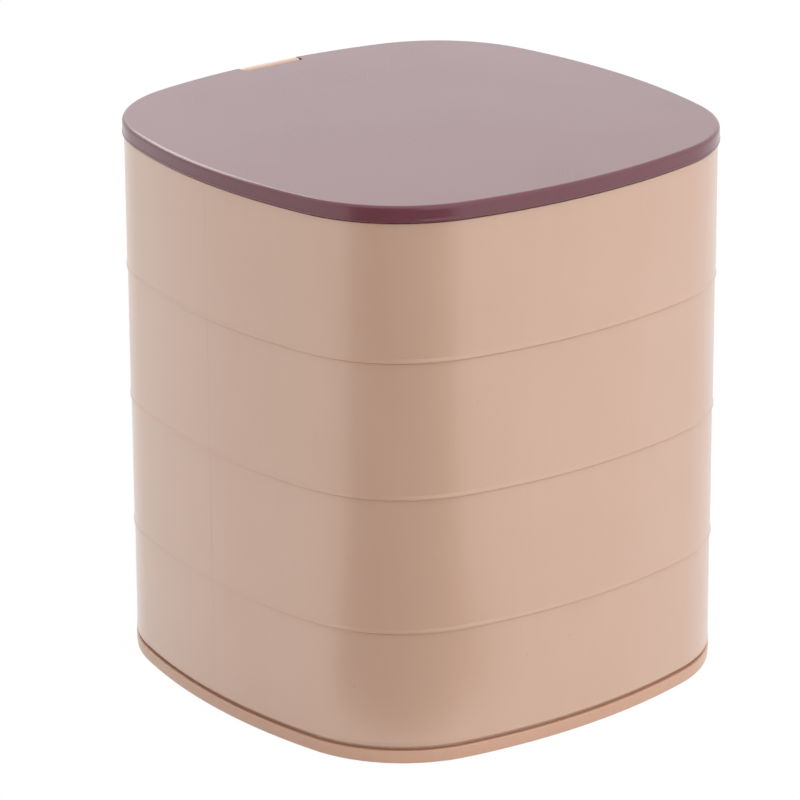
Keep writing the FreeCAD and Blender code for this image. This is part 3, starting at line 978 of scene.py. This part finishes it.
def post_boss(radius: float, floor: float, top: float) -> list[Solid]:
    """Return the tube round the post and the web that ties it to the corner.

    Args:
        radius: The tube's outer radius.
        floor, top: The levels between which both stand.

    Returns:
        The tube and the web, both sunk a little into the floor.
    """
    sink, flare, crown, in_wall = 0.3, 0.6, 0.3, 1.0
    tube = np.vstack([line((radius + flare, floor - sink), (radius + flare, floor)),
                      bend(radius + flare, floor + flare, flare, -90, -180, 4),
                      bend(radius - crown, top - crown, crown, 0, 90, 4)])
    half = POST.shaft_radius / math.sqrt(2)
    out = (POST.from_corner - in_wall) / math.sqrt(2)
    x = POST.place()
    web = np.array([(x - half, x + half), (x + half, x - half),
                    (x + half + out, x - half + out), (x - half + out, x + half + out)])
    return [turned(tube, AXIS), prism(web, floor - sink, top - 0.05)]


def post_bore(top: float) -> list[Solid]:
    """Return the tools that cut the post's bore and the spacer's seat down from a rim."""
    return [drum(POST.bore(), -2, top + 2, AXIS),
            drum(POST.seat_radius, top - POST.spacer_seat, top + 2, AXIS)]


@dataclass(frozen=True)
class PanScrew:
    """A pan-head screw on the post's axis, with a cross in its head."""

    level: float
    length: float
    head_up: bool
    head: float = 1.3
    head_radius: float = 2.75
    crown: float = 0.8
    edge: float = 0.15
    tip: float = 0.4
    cross_half: float = 1.4
    cross_width: float = 0.6
    cross_depth: float = 0.7

    def piece(self, name: str) -> Piece:
        """Return the screw as a piece.

        Its profile runs from the tip to the head, measured from the level that the head bears
        on, and is turned over where the head points down.

        Args:
            name: The piece's name.

        Returns:
            The piece.
        """
        radius, inner = POST.screw_radius, self.head_radius - self.edge
        profile = np.vstack([
            line((radius - self.tip, -self.length), (radius, -self.length + self.tip),
                 (radius, 0), (inner, 0)),
            bend(inner, self.edge, self.edge, -90, 0, 3),
            bend(self.head_radius - self.crown, self.head - self.crown, self.crown, 0, 90, 5),
        ])
        sense = 1 if self.head_up else -1
        profile[:, 1] = self.level + sense * profile[:, 1]
        deep, far = sorted((self.level + sense * (self.head - self.cross_depth),
                            self.level + sense * (self.head + 1)))
        long, thin = self.cross_half, self.cross_width / 2
        bars = [prism(box_about(AXIS, half, 0.1, 2), deep, far)
                for half in ((long, thin), (thin, long))]
        return Piece(name, turned(profile[::sense], AXIS, 60)).merge(Merge.CUT, *bars)


# The fixed unit


@dataclass
class BaseUnit:
    """Base plate, feet, foot screw and the fixed bottom tray. Sizes are in millimetres."""

    plate_level: float = 0.5
    plate_thickness: float = 2.7
    plate_reach: float = 0.2
    plate_draft: float = 0.1
    plate_low_round: float = 0.4
    plate_top_round: float = 0.28
    socket_play: float = 0.1
    socket_wall: float = 1.2
    socket_height: float = 1.8
    socket_edge: float = 0.25
    head_room_radius: float = 2.95
    head_room_height: float = 1.5
    foot_width: float = 10.0
    foot_height: float = 1.2
    foot_corner: float = 0.9
    foot_edge: float = 0.2
    foot_spacing: float = 48.0
    foot_seat: float = 0.7
    seat_play: float = 0.15
    seat_corner: float = 0.8
    tray_level: float = 3.2
    tray_height: float = 23.8
    shadow_height: float = 0.9
    shadow_depth: float = 0.75
    floor_lift: float = 3.0
    floor_thickness: float = 1.6
    floor_round: float = 0.8
    wall: float = 2.0
    rim_round: float = 0.4
    boss_radius: float = 6.2

    def feet(self, grow: float) -> list[tuple[Point, Point]]:
        """Return the middle and the half size of each foot, grown all round."""
        near, half = self.foot_spacing / 2, self.foot_width / 2 + grow
        return [((x, y), (half, half)) for x in (near, -near) for y in (near, -near)]

    def build_plate(self) -> None:
        """Make the base plate with its soft edges, socket and seats."""
        top = self.plate_thickness
        low_round, top_round = self.plate_low_round, self.plate_top_round
        profile = np.vstack([
            line((FAR_IN, 0)),
            bend(self.plate_reach - self.plate_draft - low_round, low_round, low_round, -90, 0),
            bend(self.plate_reach - top_round, top - top_round, top_round, 0, 90),
            line((FAR_IN, top)),
        ])
        play = self.socket_play * math.cos(math.pi / 6)
        wall = self.socket_wall * math.cos(math.pi / 6)
        seats = [prism(box_about(place, half, self.seat_corner), -1, self.foot_seat)
                 for place, half in self.feet(self.seat_play)]
        socket = hexagon(AXIS, POST.foot_flat + play + wall)
        piece = Piece("base_plate_skin", PLAN.swept(profile))
        piece.merge(Merge.ADD, prism(socket, top - 0.5, top + self.socket_height,
                                     self.socket_edge))
        piece.merge(Merge.CUT, prism(hexagon(AXIS, POST.foot_flat + play), top, top + 3), *seats,
                    drum(self.head_room_radius, -1, self.head_room_height, AXIS),
                    drum(POST.screw_hole, 1, 4, AXIS))
        # The plate wears the body's peach with painted bounce light from the floor.
        piece.raised(self.plate_level).dressed(PLATE_PAINTED_BOUNCE, "root", "base_plate", "body_plastic")

    def build_feet(self) -> None:
        """Make the four rubber pads with soft edges."""
        pads = [prism(box_about(place, half, self.foot_corner), 0.0, self.foot_height,
                      self.foot_edge) for place, half in self.feet(0.0)]
        whole = pads[0]
        for pad in pads[1:]:
            whole = whole.joined(pad)
        Piece("feet_pads", whole).dressed(RUBBER, "root", "foot_pads", "foot_rubber")

    def build_tray(self) -> None:
        """Make the fixed tray: ring, wall, rim, floor and the tube round the post."""
        ledge = self.shadow_height
        floor = self.floor_lift + self.floor_thickness
        height = self.tray_height
        rim, foot = self.rim_round, self.floor_round
        profile = np.vstack([
            line((FAR_IN, self.floor_lift), (-self.wall, self.floor_lift), (-self.wall, 0),
                 (-self.shadow_depth, 0), (-self.shadow_depth, ledge)),
            bend(0.0, ledge + 0.15, 0.15, -90, 0),
            EDGES.slope(ledge + 0.22),
            EDGES.high(height),
            bend(-self.wall + rim, height - rim, rim, 90, 180),
            bend(-self.wall - foot, floor + foot, foot, 0, -90),
            line((FAR_IN, floor)),
        ])
        piece = Piece("tray_bottom_skin", PLAN.swept(profile))
        piece.merge(Merge.ADD, *post_boss(self.boss_radius, floor, height))
        piece.merge(Merge.CUT, *post_bore(height))
        piece.raised(self.tray_level).dressed(BODY, "root", "tray_bottom", "body_plastic")

    def build(self) -> None:
        """Make the whole fixed unit."""
        self.build_plate()
        self.build_feet()
        self.build_tray()
        PanScrew(level=2.0, length=6.7, head_up=False).piece("foot_screw_turned").dressed(
            STEEL, "root", "foot_screw", "bright_steel")


# The turning trays


@dataclass
class TurningTray:
    """A tray that swings out on the post. Sizes are in millimetres."""

    name: str
    level: float
    lines_along_x: list[float] = field(default_factory=list)
    lines_along_y: list[float] = field(default_factory=list)
    height: float = 26.4
    floor: float = 1.6
    floor_round: float = 0.8
    wall: float = 2.0
    rim_round: float = 0.4
    boss_radius: float = 6.2
    divider: float = 1.4
    divider_drop: float = 1.0
    divider_round: float = 0.5

    def profile(self) -> np.ndarray:
        """Return the tray's profile.

        Returns:
            Points of outward reach and height, from far in under the floor, round the wall and
            back to far in on the floor.
        """
        small = self.floor_round
        return np.vstack([
            line((FAR_IN, 0)),
            EDGES.low(),
            self.rim(),
            bend(-self.wall - small, self.floor + small, small, 0, -90),
            line((FAR_IN, self.floor)),
        ])

    def rim(self) -> np.ndarray:
        """Return the rim's part of the profile.

        Returns:
            Points of outward reach and height, from the outer edge to the inner one.
        """
        small = self.rim_round
        return np.vstack([EDGES.high(self.height),
                          bend(-self.wall + small, self.height - small, small, 90, 180)])

    def dividers(self, top: float) -> list[Solid]:
        """Return the dividers, each a standing strip with a round top and a flared foot.

        The section runs along the strip, and its ends stop in the middle of the wall.

        Args:
            top: The level of the dividers' tops.

        Returns:
            The strips.
        """
        half, small, sink = self.divider / 2, self.divider_round, 0.3
        section = np.vstack([
            line((half + small, self.floor - sink), (half + small, self.floor)),
            bend(half + small, self.floor + small, small, -90, -180, 3),
            bend(half - small, top - small, small, 0, 90, 4),
            bend(-half + small, top - small, small, 90, 180, 4),
            bend(-half - small, self.floor + small, small, 0, -90, 3),
            line((-half - small, self.floor - sink)),
        ])
        made = []
        for along_x, lines in ((True, self.lines_along_x), (False, self.lines_along_y)):
            for place in lines:
                far = PLAN.reach(place, self.wall / 2)
                strip = slide(section + [place, 0.0], -far, far)
                made.append(strip if along_x else strip.quarter_turned(place))
        return made

    def body(self) -> Piece:
        """Return the tray with its dividers and the post's tube.

        Returns:
            The piece, whose underside is at level 0.
        """
        piece = Piece(self.name + "_skin", PLAN.swept(self.profile()))
        piece.merge(Merge.ADD, *self.dividers(self.height - self.divider_drop))
        piece.merge(Merge.ADD, *post_boss(self.boss_radius, self.floor, self.height))
        piece.merge(Merge.CUT, *post_bore(self.height))
        return piece

    def build(self) -> None:
        """Make the tray."""
        self.body().raised(self.level).dressed(BODY, self.name, self.name, "body_plastic")


@dataclass
class TopTray(TurningTray):
    """The tray under the lid, with a lip, the chamber for the post's head and the knuckle.

    The knuckle's root is given as y and height from the rim, from inside the wall outwards.
    """

    boss_radius: float = 7.0
    lip_height: float = 0.35
    lip_inset: float = 1.0
    lip_gap_half: float = 16.0
    knuckle_half: float = 7.05
    knuckle_outside: float = 51.25
    knuckle_top: float = 29.75
    knuckle_edge: float = 1.0
    knuckle_corner: float = 0.45
    knuckle_end: float = 0.2
    knuckle_root: tuple[Point, ...] = ((50.0, -2.65), (50.0, -0.6), (50.65, -0.05))
    cap_seat: float = 3.4
    cap_radius: float = 5.85
    chamber_depth: float = 4.51
    chamber_radius: float = 5.2

    def rim(self) -> np.ndarray:
        """Return the rim with the lip that the lid rests on.

        Returns:
            Points of outward reach and height, from the outer edge to the lip's inner one.
        """
        lip = self.height + self.lip_height
        outer, inner = 0.12, 0.3
        return np.vstack([EDGES.high(self.height),
                          line((-self.lip_inset, self.height)),
                          bend(-self.lip_inset - outer, lip - outer, outer, 0, 90, 3),
                          bend(-self.wall + inner, lip - inner, inner, 90, 180)])

    def knuckle(self) -> Solid:
        """Return the knuckle: a block with soft ends that is round about the pin inside.

        Returns:
            The block.
        """
        y, z, wrap = HINGE.y, HINGE.z - self.level, HINGE.wrap
        edge, lip = self.knuckle_edge, 0.3
        root = [(out, self.height + rise) for out, rise in self.knuckle_root]
        section = np.vstack([
            line((y - wrap, self.height - 0.8), *root),
            bend(self.knuckle_outside - lip, self.height + 0.55, lip, -60, 0, 3),
            bend(self.knuckle_outside - edge, self.knuckle_top - edge, edge, 0, 90, 8),
            bend(y, z, wrap, 90, 180, 8),
        ])
        return slide(section, HINGE.x - self.knuckle_half, HINGE.x + self.knuckle_half,
                     self.knuckle_end, Sag(1 / (2 * PLAN.side_radius), HINGE.y))

    def knuckle_corners(self) -> list[Solid]:
        """Return the tools that round the knuckle's two inner corners in plan.

        Returns:
            The two tools.
        """
        near, soft, past = HINGE.y - HINGE.wrap, self.knuckle_corner, 0.5
        arc = bend(0, 0, soft, -90, 0, 6)
        tools = []
        for side in (1, -1):
            far = HINGE.x + side * self.knuckle_half
            inner = far - side * soft
            rest = line((far + side * past, near + soft), (far + side * past, near - past),
                        (inner, near - past))
            outline = np.vstack([arc * [side, 1] + [inner, near + soft], rest])[::-side]
            tools.append(prism(outline, self.height + 0.02, self.height + 5))
        return tools

    def body(self) -> Piece:
        """Return the tray with its dividers, the knuckle and the chamber round the post's end.

        Returns:
            The piece, whose underside is at level 0.
        """
        top = self.height - self.divider_drop
        step = top - self.cap_seat
        shoulder = step - self.chamber_depth
        gap = prism(box_about((HINGE.x, 50), (self.lip_gap_half, 10), 0.3),
                    self.height, self.height + 2)
        pin = bend(HINGE.y, HINGE.z - self.level, HINGE.pin_radius + 0.01, 0, 360, 24)[:-1]
        piece = Piece(self.name + "_skin", PLAN.swept(self.profile()))
        piece.merge(Merge.CUT, gap)
        piece.merge(Merge.ADD, *self.dividers(top),
                    *post_boss(self.boss_radius, self.floor, top), self.knuckle())
        piece.merge(Merge.CUT, *self.knuckle_corners(),
                    drum(POST.bore(), -2, shoulder + 1, AXIS),
                    drum(self.chamber_radius, shoulder, step + 0.5, AXIS),
                    drum(self.cap_radius, step, top + 2, AXIS),
                    slide(pin, HINGE.x - 9, HINGE.x + 9))
        return piece


# What rides on the post


@dataclass
class PivotStack:
    """Post, spacers, washers, screw and cap. Sizes are in millimetres."""

    spacer_levels: tuple[float, float, float] = (26.25, 52.95, 79.65)
    foot_edge: float = 0.15
    low_break: Point = (0.8, 0.3)
    high_break: Point = (0.4, 0.4)
    low_hole: float = 6.0
    high_hole: float = 8.0
    spacer_radius: float = 5.0
    spacer_edge: float = 0.12
    washer_radius: float = 4.9
    washer_edge: float = 0.1
    ring_thickness: float = 1.0
    dish_level: float = 98.22
    dish_radius: float = 4.8
    dish_rise: float = 0.35
    dish_thickness: float = 0.4
    cap_level: float = 102.7
    cap_height: float = 3.4
    cap_radius: float = 5.8
    cap_wall: float = 0.9
    cap_crown: float = 1.4
    cap_low_round: float = 0.15
    cap_top_round: float = 0.4
    cap_lip_round: float = 0.2
    cap_dish: tuple[Point, Point] = ((4.2, 0.28), (1.0, 0.3))

    def build_post(self) -> None:
        """Make the post: six-sided foot with broken corners, shaft with broken ends."""
        low, high = POST.foot_level, POST.end
        hole, radius = POST.screw_hole, POST.shaft_radius
        (low_in, low_up), (high_in, high_down) = self.low_break, self.high_break
        foot = prism(hexagon(AXIS, POST.foot_flat), low, low + POST.foot_height, self.foot_edge)
        shaft = turned(line((hole, low + self.low_hole), (hole, low), (radius - low_in, low),
                            (radius, low + low_up), (radius, high - high_down),
                            (radius - high_in, high), (hole, high),
                            (hole, high - self.high_hole)), AXIS)
        piece = Piece("post_turned", foot)
        piece.merge(Merge.CUT, drum(hole, low - 1, low + 10, AXIS))
        piece.merge(Merge.ADD, shaft)
        piece.dressed(STEEL, "root", "pivot_post", "bright_steel")

    def build_rings(self) -> None:
        """Make the spacers and the two washers."""
        names = (("spacer_bottom", "root"), ("spacer_lower", "tray_lower"),
                 ("spacer_upper", "tray_upper"))
        for (name, body), level in zip(names, self.spacer_levels):
            ring = self.flat_ring(POST.bore(), self.spacer_radius, level, self.spacer_edge)
            Piece(name + "_ring", ring).dressed(NYLON, body, name, "washer_plastic")
        low, inner, outer = self.dish_level, POST.bore(), self.dish_radius
        thick, rise = self.dish_thickness, self.dish_rise
        dish = line((inner, low + rise), (outer, low), (outer, low + thick),
                    (inner, low + rise + thick))
        Piece("spring_dish", turned(dish, AXIS, ends=Ends.LOOP)).softened(0.05).dressed(
            SPRING, "root", "spring_washer", "spring_steel")
        flat = self.flat_ring(POST.screw_hole, self.washer_radius, POST.end, self.washer_edge)
        Piece("flat_washer", flat).dressed(STEEL, "root", "retaining_washer", "bright_steel")

    def flat_ring(self, inner: float, outer: float, low: float, edge: float) -> Solid:
        """Return a flat ring about the post's axis with rounded edges.

        Args:
            inner, outer: Its radii.
            low: The level of its underside.
            edge: The edges' radius.

        Returns:
            The ring.
        """
        high = low + self.ring_thickness
        section = np.vstack([bend(outer - edge, low + edge, edge, -90, 0, 3),
                             bend(outer - edge, high - edge, edge, 0, 90, 3),
                             bend(inner + edge, high - edge, edge, 90, 180, 3),
                             bend(inner + edge, low + edge, edge, 180, 270, 3)])
        return turned(section, AXIS, ends=Ends.LOOP)

    def build_cap(self) -> None:
        """Make the cap: a round lid with a shallow dish on top and a hollow below."""
        low, top, outer = self.cap_level, self.cap_level + self.cap_height, self.cap_radius
        inner, ceiling = outer - self.cap_wall, top - self.cap_crown
        small, soft, lip = self.cap_low_round, self.cap_top_round, self.cap_lip_round
        dish = [(reach, top - drop) for reach, drop in self.cap_dish]
        profile = np.vstack([
            line((1.0, ceiling), (inner, ceiling), (inner, low)),
            bend(outer - small, low + small, small, -90, 0, 3),
            bend(outer - soft, top - soft, soft, 0, 90, 5),
            bend(inner, top - lip, lip, 90, 160, 3),
            line(*dish),
        ])
        Piece("cap_moulded", turned(profile, AXIS)).dressed(BODY, "tray_top", "pivot_cap",
                                                            "body_plastic")

    def build(self) -> None:
        """Make everything on the post."""
        self.build_post()
        self.build_rings()
        screw = PanScrew(level=POST.end + self.ring_thickness, length=8.5, head_up=True)
        screw.piece("end_screw_turned").dressed(STEEL, "root", "retaining_screw", "bright_steel")
        self.build_cap()


# The lid


@dataclass
class LidUnit:
    """Lid, keeper, mirror, tape and hinge pin. Sizes are in millimetres."""

    level: float = 107.5
    thickness: float = 2.95
    overhang: float = 0.25
    top_round: float = 0.75
    bead_reach: float = 0.08
    bead_drop: float = 0.12
    bead_round: float = 0.22
    recess: float = 1.8
    recess_reach: float = -6.55
    notch_half: float = 7.18
    notch_y: float = 47.98
    notch_corner: float = 0.5
    groove_radius: float = 0.55
    groove_half: float = 10.7
    relief_radius: float = 1.6
    relief_half: float = 16.0
    keeper_half: float = 12.0
    keeper_y: tuple[float, float] = (46.1, 50.1)
    keeper_notch_half: float = 7.4
    keeper_notch_y: float = 47.75
    keeper_thickness: float = 0.9
    keeper_play: float = 0.1
    mirror_reach: float = -6.75
    mirror_lift: float = 0.2
    mirror_thickness: float = 1.4
    mirror_bevel: float = 0.2
    tape_half: tuple[float, float] = (32.0, 6.0)
    tape_y: float = 22.0
    tape_thickness: float = 0.2

    def profile(self) -> np.ndarray:
        """Return the lid's profile.

        Returns:
            Points of outward reach and height, from far in under the recess, round the edge and
            back to far in on the top.
        """
        top, out, soft = self.thickness, self.overhang, self.top_round
        small, bead = self.bead_round, self.overhang + self.bead_reach
        return np.vstack([
            line((FAR_IN, self.recess), (self.recess_reach, self.recess),
                 (self.recess_reach, 0.2)),
            bend(self.recess_reach + 0.2, 0.2, 0.2, 180, 270, 3), line((-0.45, 0.0)),
            bend(bead - small, small - self.bead_drop, small, -90, 0),
            line((bead, 0.30), (out, 0.46), (out, 0.6), (out, top - soft - 0.15)),
            bend(out - soft, top - soft, soft, 0, 90, 8),
            line((out - soft - 0.3, top), (FAR_IN, top)),
        ])

    def build_shell(self) -> None:
        """Make the lid with its soft edges, recess, seat, groove, relief and notch."""
        x, y, z = HINGE.x, HINGE.y, HINGE.z - self.level
        groove, reach, deep = self.groove_radius, self.relief_radius, 5.0
        pin = np.vstack([line((y - groove, 0.5), (y + groove, 0.5)),
                         bend(y, z, groove, 0, 180, 12)])
        relief = np.vstack([bend(y, z, reach, -90, 0, 10),
                            line((y + deep, z), (y + deep, z - deep), (y, z - deep))])[::-1]
        notch = soft_box((x - self.notch_half, self.notch_y), (x + self.notch_half, 60),
                         self.notch_corner, 7)
        low, high = self.keeper_y
        half, play = self.keeper_half + self.keeper_play, self.keeper_play
        seat = soft_box((x - half, low - play), (x + half, high + play), 0.3, 2)
        piece = Piece("lid_skin", PLAN.swept(self.profile()))
        piece.merge(Merge.CUT, prism(seat, -1, self.keeper_thickness),
                    slide(pin, x - self.groove_half, x + self.groove_half),
                    slide(relief, x - self.relief_half, x + self.relief_half),
                    prism(notch, -1, 5))
        piece.raised(self.level).dressed(LID, "lid", "lid_shell", "lid_plastic")

    def build_keeper(self) -> None:
        """Make the strip that closes the pin's groove, with a notch round the knuckle."""
        x, half, notch = HINGE.x, self.keeper_half, self.keeper_notch_half
        low, high = self.keeper_y
        step = self.keeper_notch_y
        outline = np.array([(x - half, low), (x + half, low), (x + half, high),
                            (x + notch, high), (x + notch, step), (x - notch, step),
                            (x - notch, high), (x - half, high)])
        strip = prism(outline, self.level, self.level + self.keeper_thickness)
        Piece("keeper_strip", strip).softened(0.1).dressed(LID, "lid", "hinge_keeper",
                                                           "lid_plastic")

    def build_mirror(self) -> None:
        """Make the mirror with its bevelled face, and the two strips of tape behind it."""
        low = self.level + self.mirror_lift
        high, bevel, out = low + self.mirror_thickness, self.mirror_bevel, self.mirror_reach
        middle = FAR_IN - 1
        glass = line((middle, low), (out - bevel, low), (out, low + bevel), (out, high - 0.1),
                     (out - 0.1, high), (middle, high))
        Piece("mirror_plate", PLAN.swept(glass)).dressed(MIRROR, "lid", "mirror",
                                                         "mirror_glass")
        strips = [prism(box_about((0, y), self.tape_half, 0.6, 3), high,
                        high + self.tape_thickness, 0.03) for y in (-self.tape_y, self.tape_y)]
        Piece("tape_strips", strips[0].joined(strips[1])).dressed(FOAM, "lid", "mirror_tape",
                                                                 "bonding_tape")

    def build_pin(self) -> None:
        """Make the hinge pin with its rounded ends."""
        section = bend(HINGE.y, HINGE.z, HINGE.pin_radius, 0, 360, 28)[:-1]
        pin = slide(section, HINGE.x - HINGE.pin_half, HINGE.x + HINGE.pin_half, 0.15)
        Piece("hinge_pin_turned", pin).dressed(STEEL, "tray_top", "hinge_pin", "bright_steel")

    def build(self) -> None:
        """Make the lid and what it carries."""
        self.build_shell()
        self.build_keeper()
        self.build_mirror()
        self.build_pin()


# The studio, in metres


@dataclass(frozen=True)
class Lamp:
    """A soft rectangular lamp that faces a point, and that shiny surfaces may mirror."""

    name: str
    place: tuple[float, float, float]
    aim: tuple[float, float, float]
    size: tuple[float, float]
    power: float
    mirrored: bool = False

    def build(self) -> None:
        """Hang the lamp."""
        light = bpy.data.lights.new(self.name, "AREA")
        light.shape = "RECTANGLE"
        light.size, light.size_y = self.size
        light.energy = self.power
        made = bpy.data.objects.new(self.name, light)
        made.location = self.place
        way = Vector(self.aim) - Vector(self.place)
        made.rotation_euler = way.to_track_quat("-Z", "Y").to_euler()
        made.visible_glossy = self.mirrored
        bpy.context.scene.collection.objects.link(made)


@dataclass
class Studio:
    """Camera, lamps, world, floor and dark cards. The sheets' sizes are in millimetres."""

    eye: tuple[float, float, float] = (-0.475315, -0.597616, 0.331661)
    right: tuple[float, float, float] = (0.784845, -0.619674, -0.004772)
    above: tuple[float, float, float] = (0.216214, 0.266611, 0.939239)
    lens: float = 185.54
    fill: float = 0.53
    floor_half: float = 3000.0
    card_near: float = 75.0
    card_far: float = 1500.0
    card_half_angle: float = 36.0
    card_lift: float = 0.2
    screen_away: float = 1450.0
    screen_shift: float = -420.0
    screen_half: float = 800.0
    screen_height: float = 1800.0
    lamps: tuple[Lamp, ...] = (
        Lamp("sky_panel", (0.30, -0.60, 1.50), (0, 0, 0.05), (1.5, 1.5), 18.0),
        Lamp("key", (0.035, 1.01, 0.82), (0, 0, 0.08), (1.1, 0.4), 5.0, True),
        Lamp("back_panel", (0.87, 1.10, 0.52), (0, 0, 0.1), (1.0, 0.7), 0.45, True),
        Lamp("right_panel", (0.75, -1.10, 0.35), (0, 0, 0.05), (0.8, 0.8), 1.6),
        Lamp("front_fill", (-0.55, -1.15, 0.22), (0, 0, 0.03), (0.7, 0.4), 2.4),
        Lamp("left_panel", (-1.10, 0.70, 0.40), (0, 0, 0.05), (0.6, 0.6), 1.5),
    )

    def build_camera(self) -> None:
        """Set the camera where the photograph was taken from."""
        data = bpy.data.cameras.new("camera")
        data.lens = self.lens
        data.sensor_width = 36.0
        data.clip_start = 0.01
        data.clip_end = 20.0
        right = Vector(self.right).normalized()
        above = Vector(self.above).normalized()
        back = right.cross(above).normalized()
        turn = Matrix((right, above, back)).transposed().to_4x4()
        camera = bpy.data.objects.new("camera", data)
        camera.matrix_world = Matrix.Translation(self.eye) @ turn
        bpy.context.scene.collection.objects.link(camera)
        bpy.context.scene.camera = camera

    def build_world(self) -> None:
        """Light everything softly, and show white to the camera, mirrors and glass."""
        world = bpy.data.worlds.new("studio")
        bpy.context.scene.world = world
        world.use_nodes = True
        bench = Bench(world.node_tree)
        fill, white = (bench.node("ShaderNodeBackground", {},
                                  {"Color": (1, 1, 1, 1), "Strength": strength})
                       for strength in (self.fill, 1.0))
        shown = bench.node("ShaderNodeMixShader", {},
                           {0: seen_directly(bench), 1: fill, 2: white})
        bench.finish(shown, "ShaderNodeOutputWorld")

    def build_sheet(self, name: str, corners: list[Vector], finish: Finish,
                    lift: float = 0.0) -> bpy.types.Object:
        """Lay or stand a flat sheet that belongs to the studio.

        Args:
            name: The sheet's name.
            corners: Its four corners in order.
            finish: Its material.
            lift: How far it is lifted.

        Returns:
            The sheet.
        """
        points = np.array([(p.x, p.y, p.z + lift) for p in corners])
        sheet = Piece.raw(name, Solid(points, [[0, 1, 2, 3]]))
        sheet.data.materials.append(finish.material())
        return sheet

    def build_floor(self) -> None:
        """Lay a wide sheet at the level of the feet."""
        side = self.floor_half
        self.build_sheet("floor_sheet", [Vector((x * side, y * side, 0)) for x, y in
                                         ((-1, -1), (1, -1), (1, 1), (-1, 1))], StudioFloor())

    def build_dark_cards(self) -> None:
        """Keep the studio dark behind the camera, so that the front corner mirrors little.

        A wedge-shaped sheet just over the floor opens from the box towards the camera, and a
        screen stands beyond the camera. The camera itself sees neither.
        """
        away = Vector((self.eye[0], self.eye[1], 0.0)).normalized()
        across = Vector((-away.y, away.x, 0.0))
        spread = math.tan(math.radians(self.card_half_angle))
        wedge = [away * reach + across * reach * spread * side for reach, side in
                 ((self.card_far, 1), (self.card_far, -1), (self.card_near, -1),
                  (self.card_near, 1))]
        card = self.build_sheet("floor_card", wedge, CARD, self.card_lift)
        card.visible_camera = card.visible_diffuse = card.visible_shadow = False
        middle = away * self.screen_away + across * self.screen_shift
        left, right = middle + across * self.screen_half, middle - across * self.screen_half
        up = Vector((0, 0, self.screen_height))
        screen = self.build_sheet("dark_screen", [left, right, right + up, left + up], CARD)
        screen.visible_camera = False

    def build(self) -> None:
        """Set up the whole studio."""
        self.build_camera()
        self.build_world()
        self.build_floor()
        self.build_dark_cards()
        for lamp in self.lamps:
            lamp.build()


def main() -> None:
    """Build every part in order, then the studio."""
    scene = bpy.context.scene
    scene.view_settings.view_transform = "Standard"
    BaseUnit().build()
    TurningTray("tray_lower", 27.3, [0.0], []).build()
    TurningTray("tray_upper", 54.0, [0.0], [0.0]).build()
    third = (PLAN.half_width - TurningTray.wall) / 3
    TopTray("tray_top", 80.7, [-third, third], [-third, third]).build()
    PivotStack().build()
    LidUnit().build()
    Studio().build()


if __name__ == "__main__":
    main()
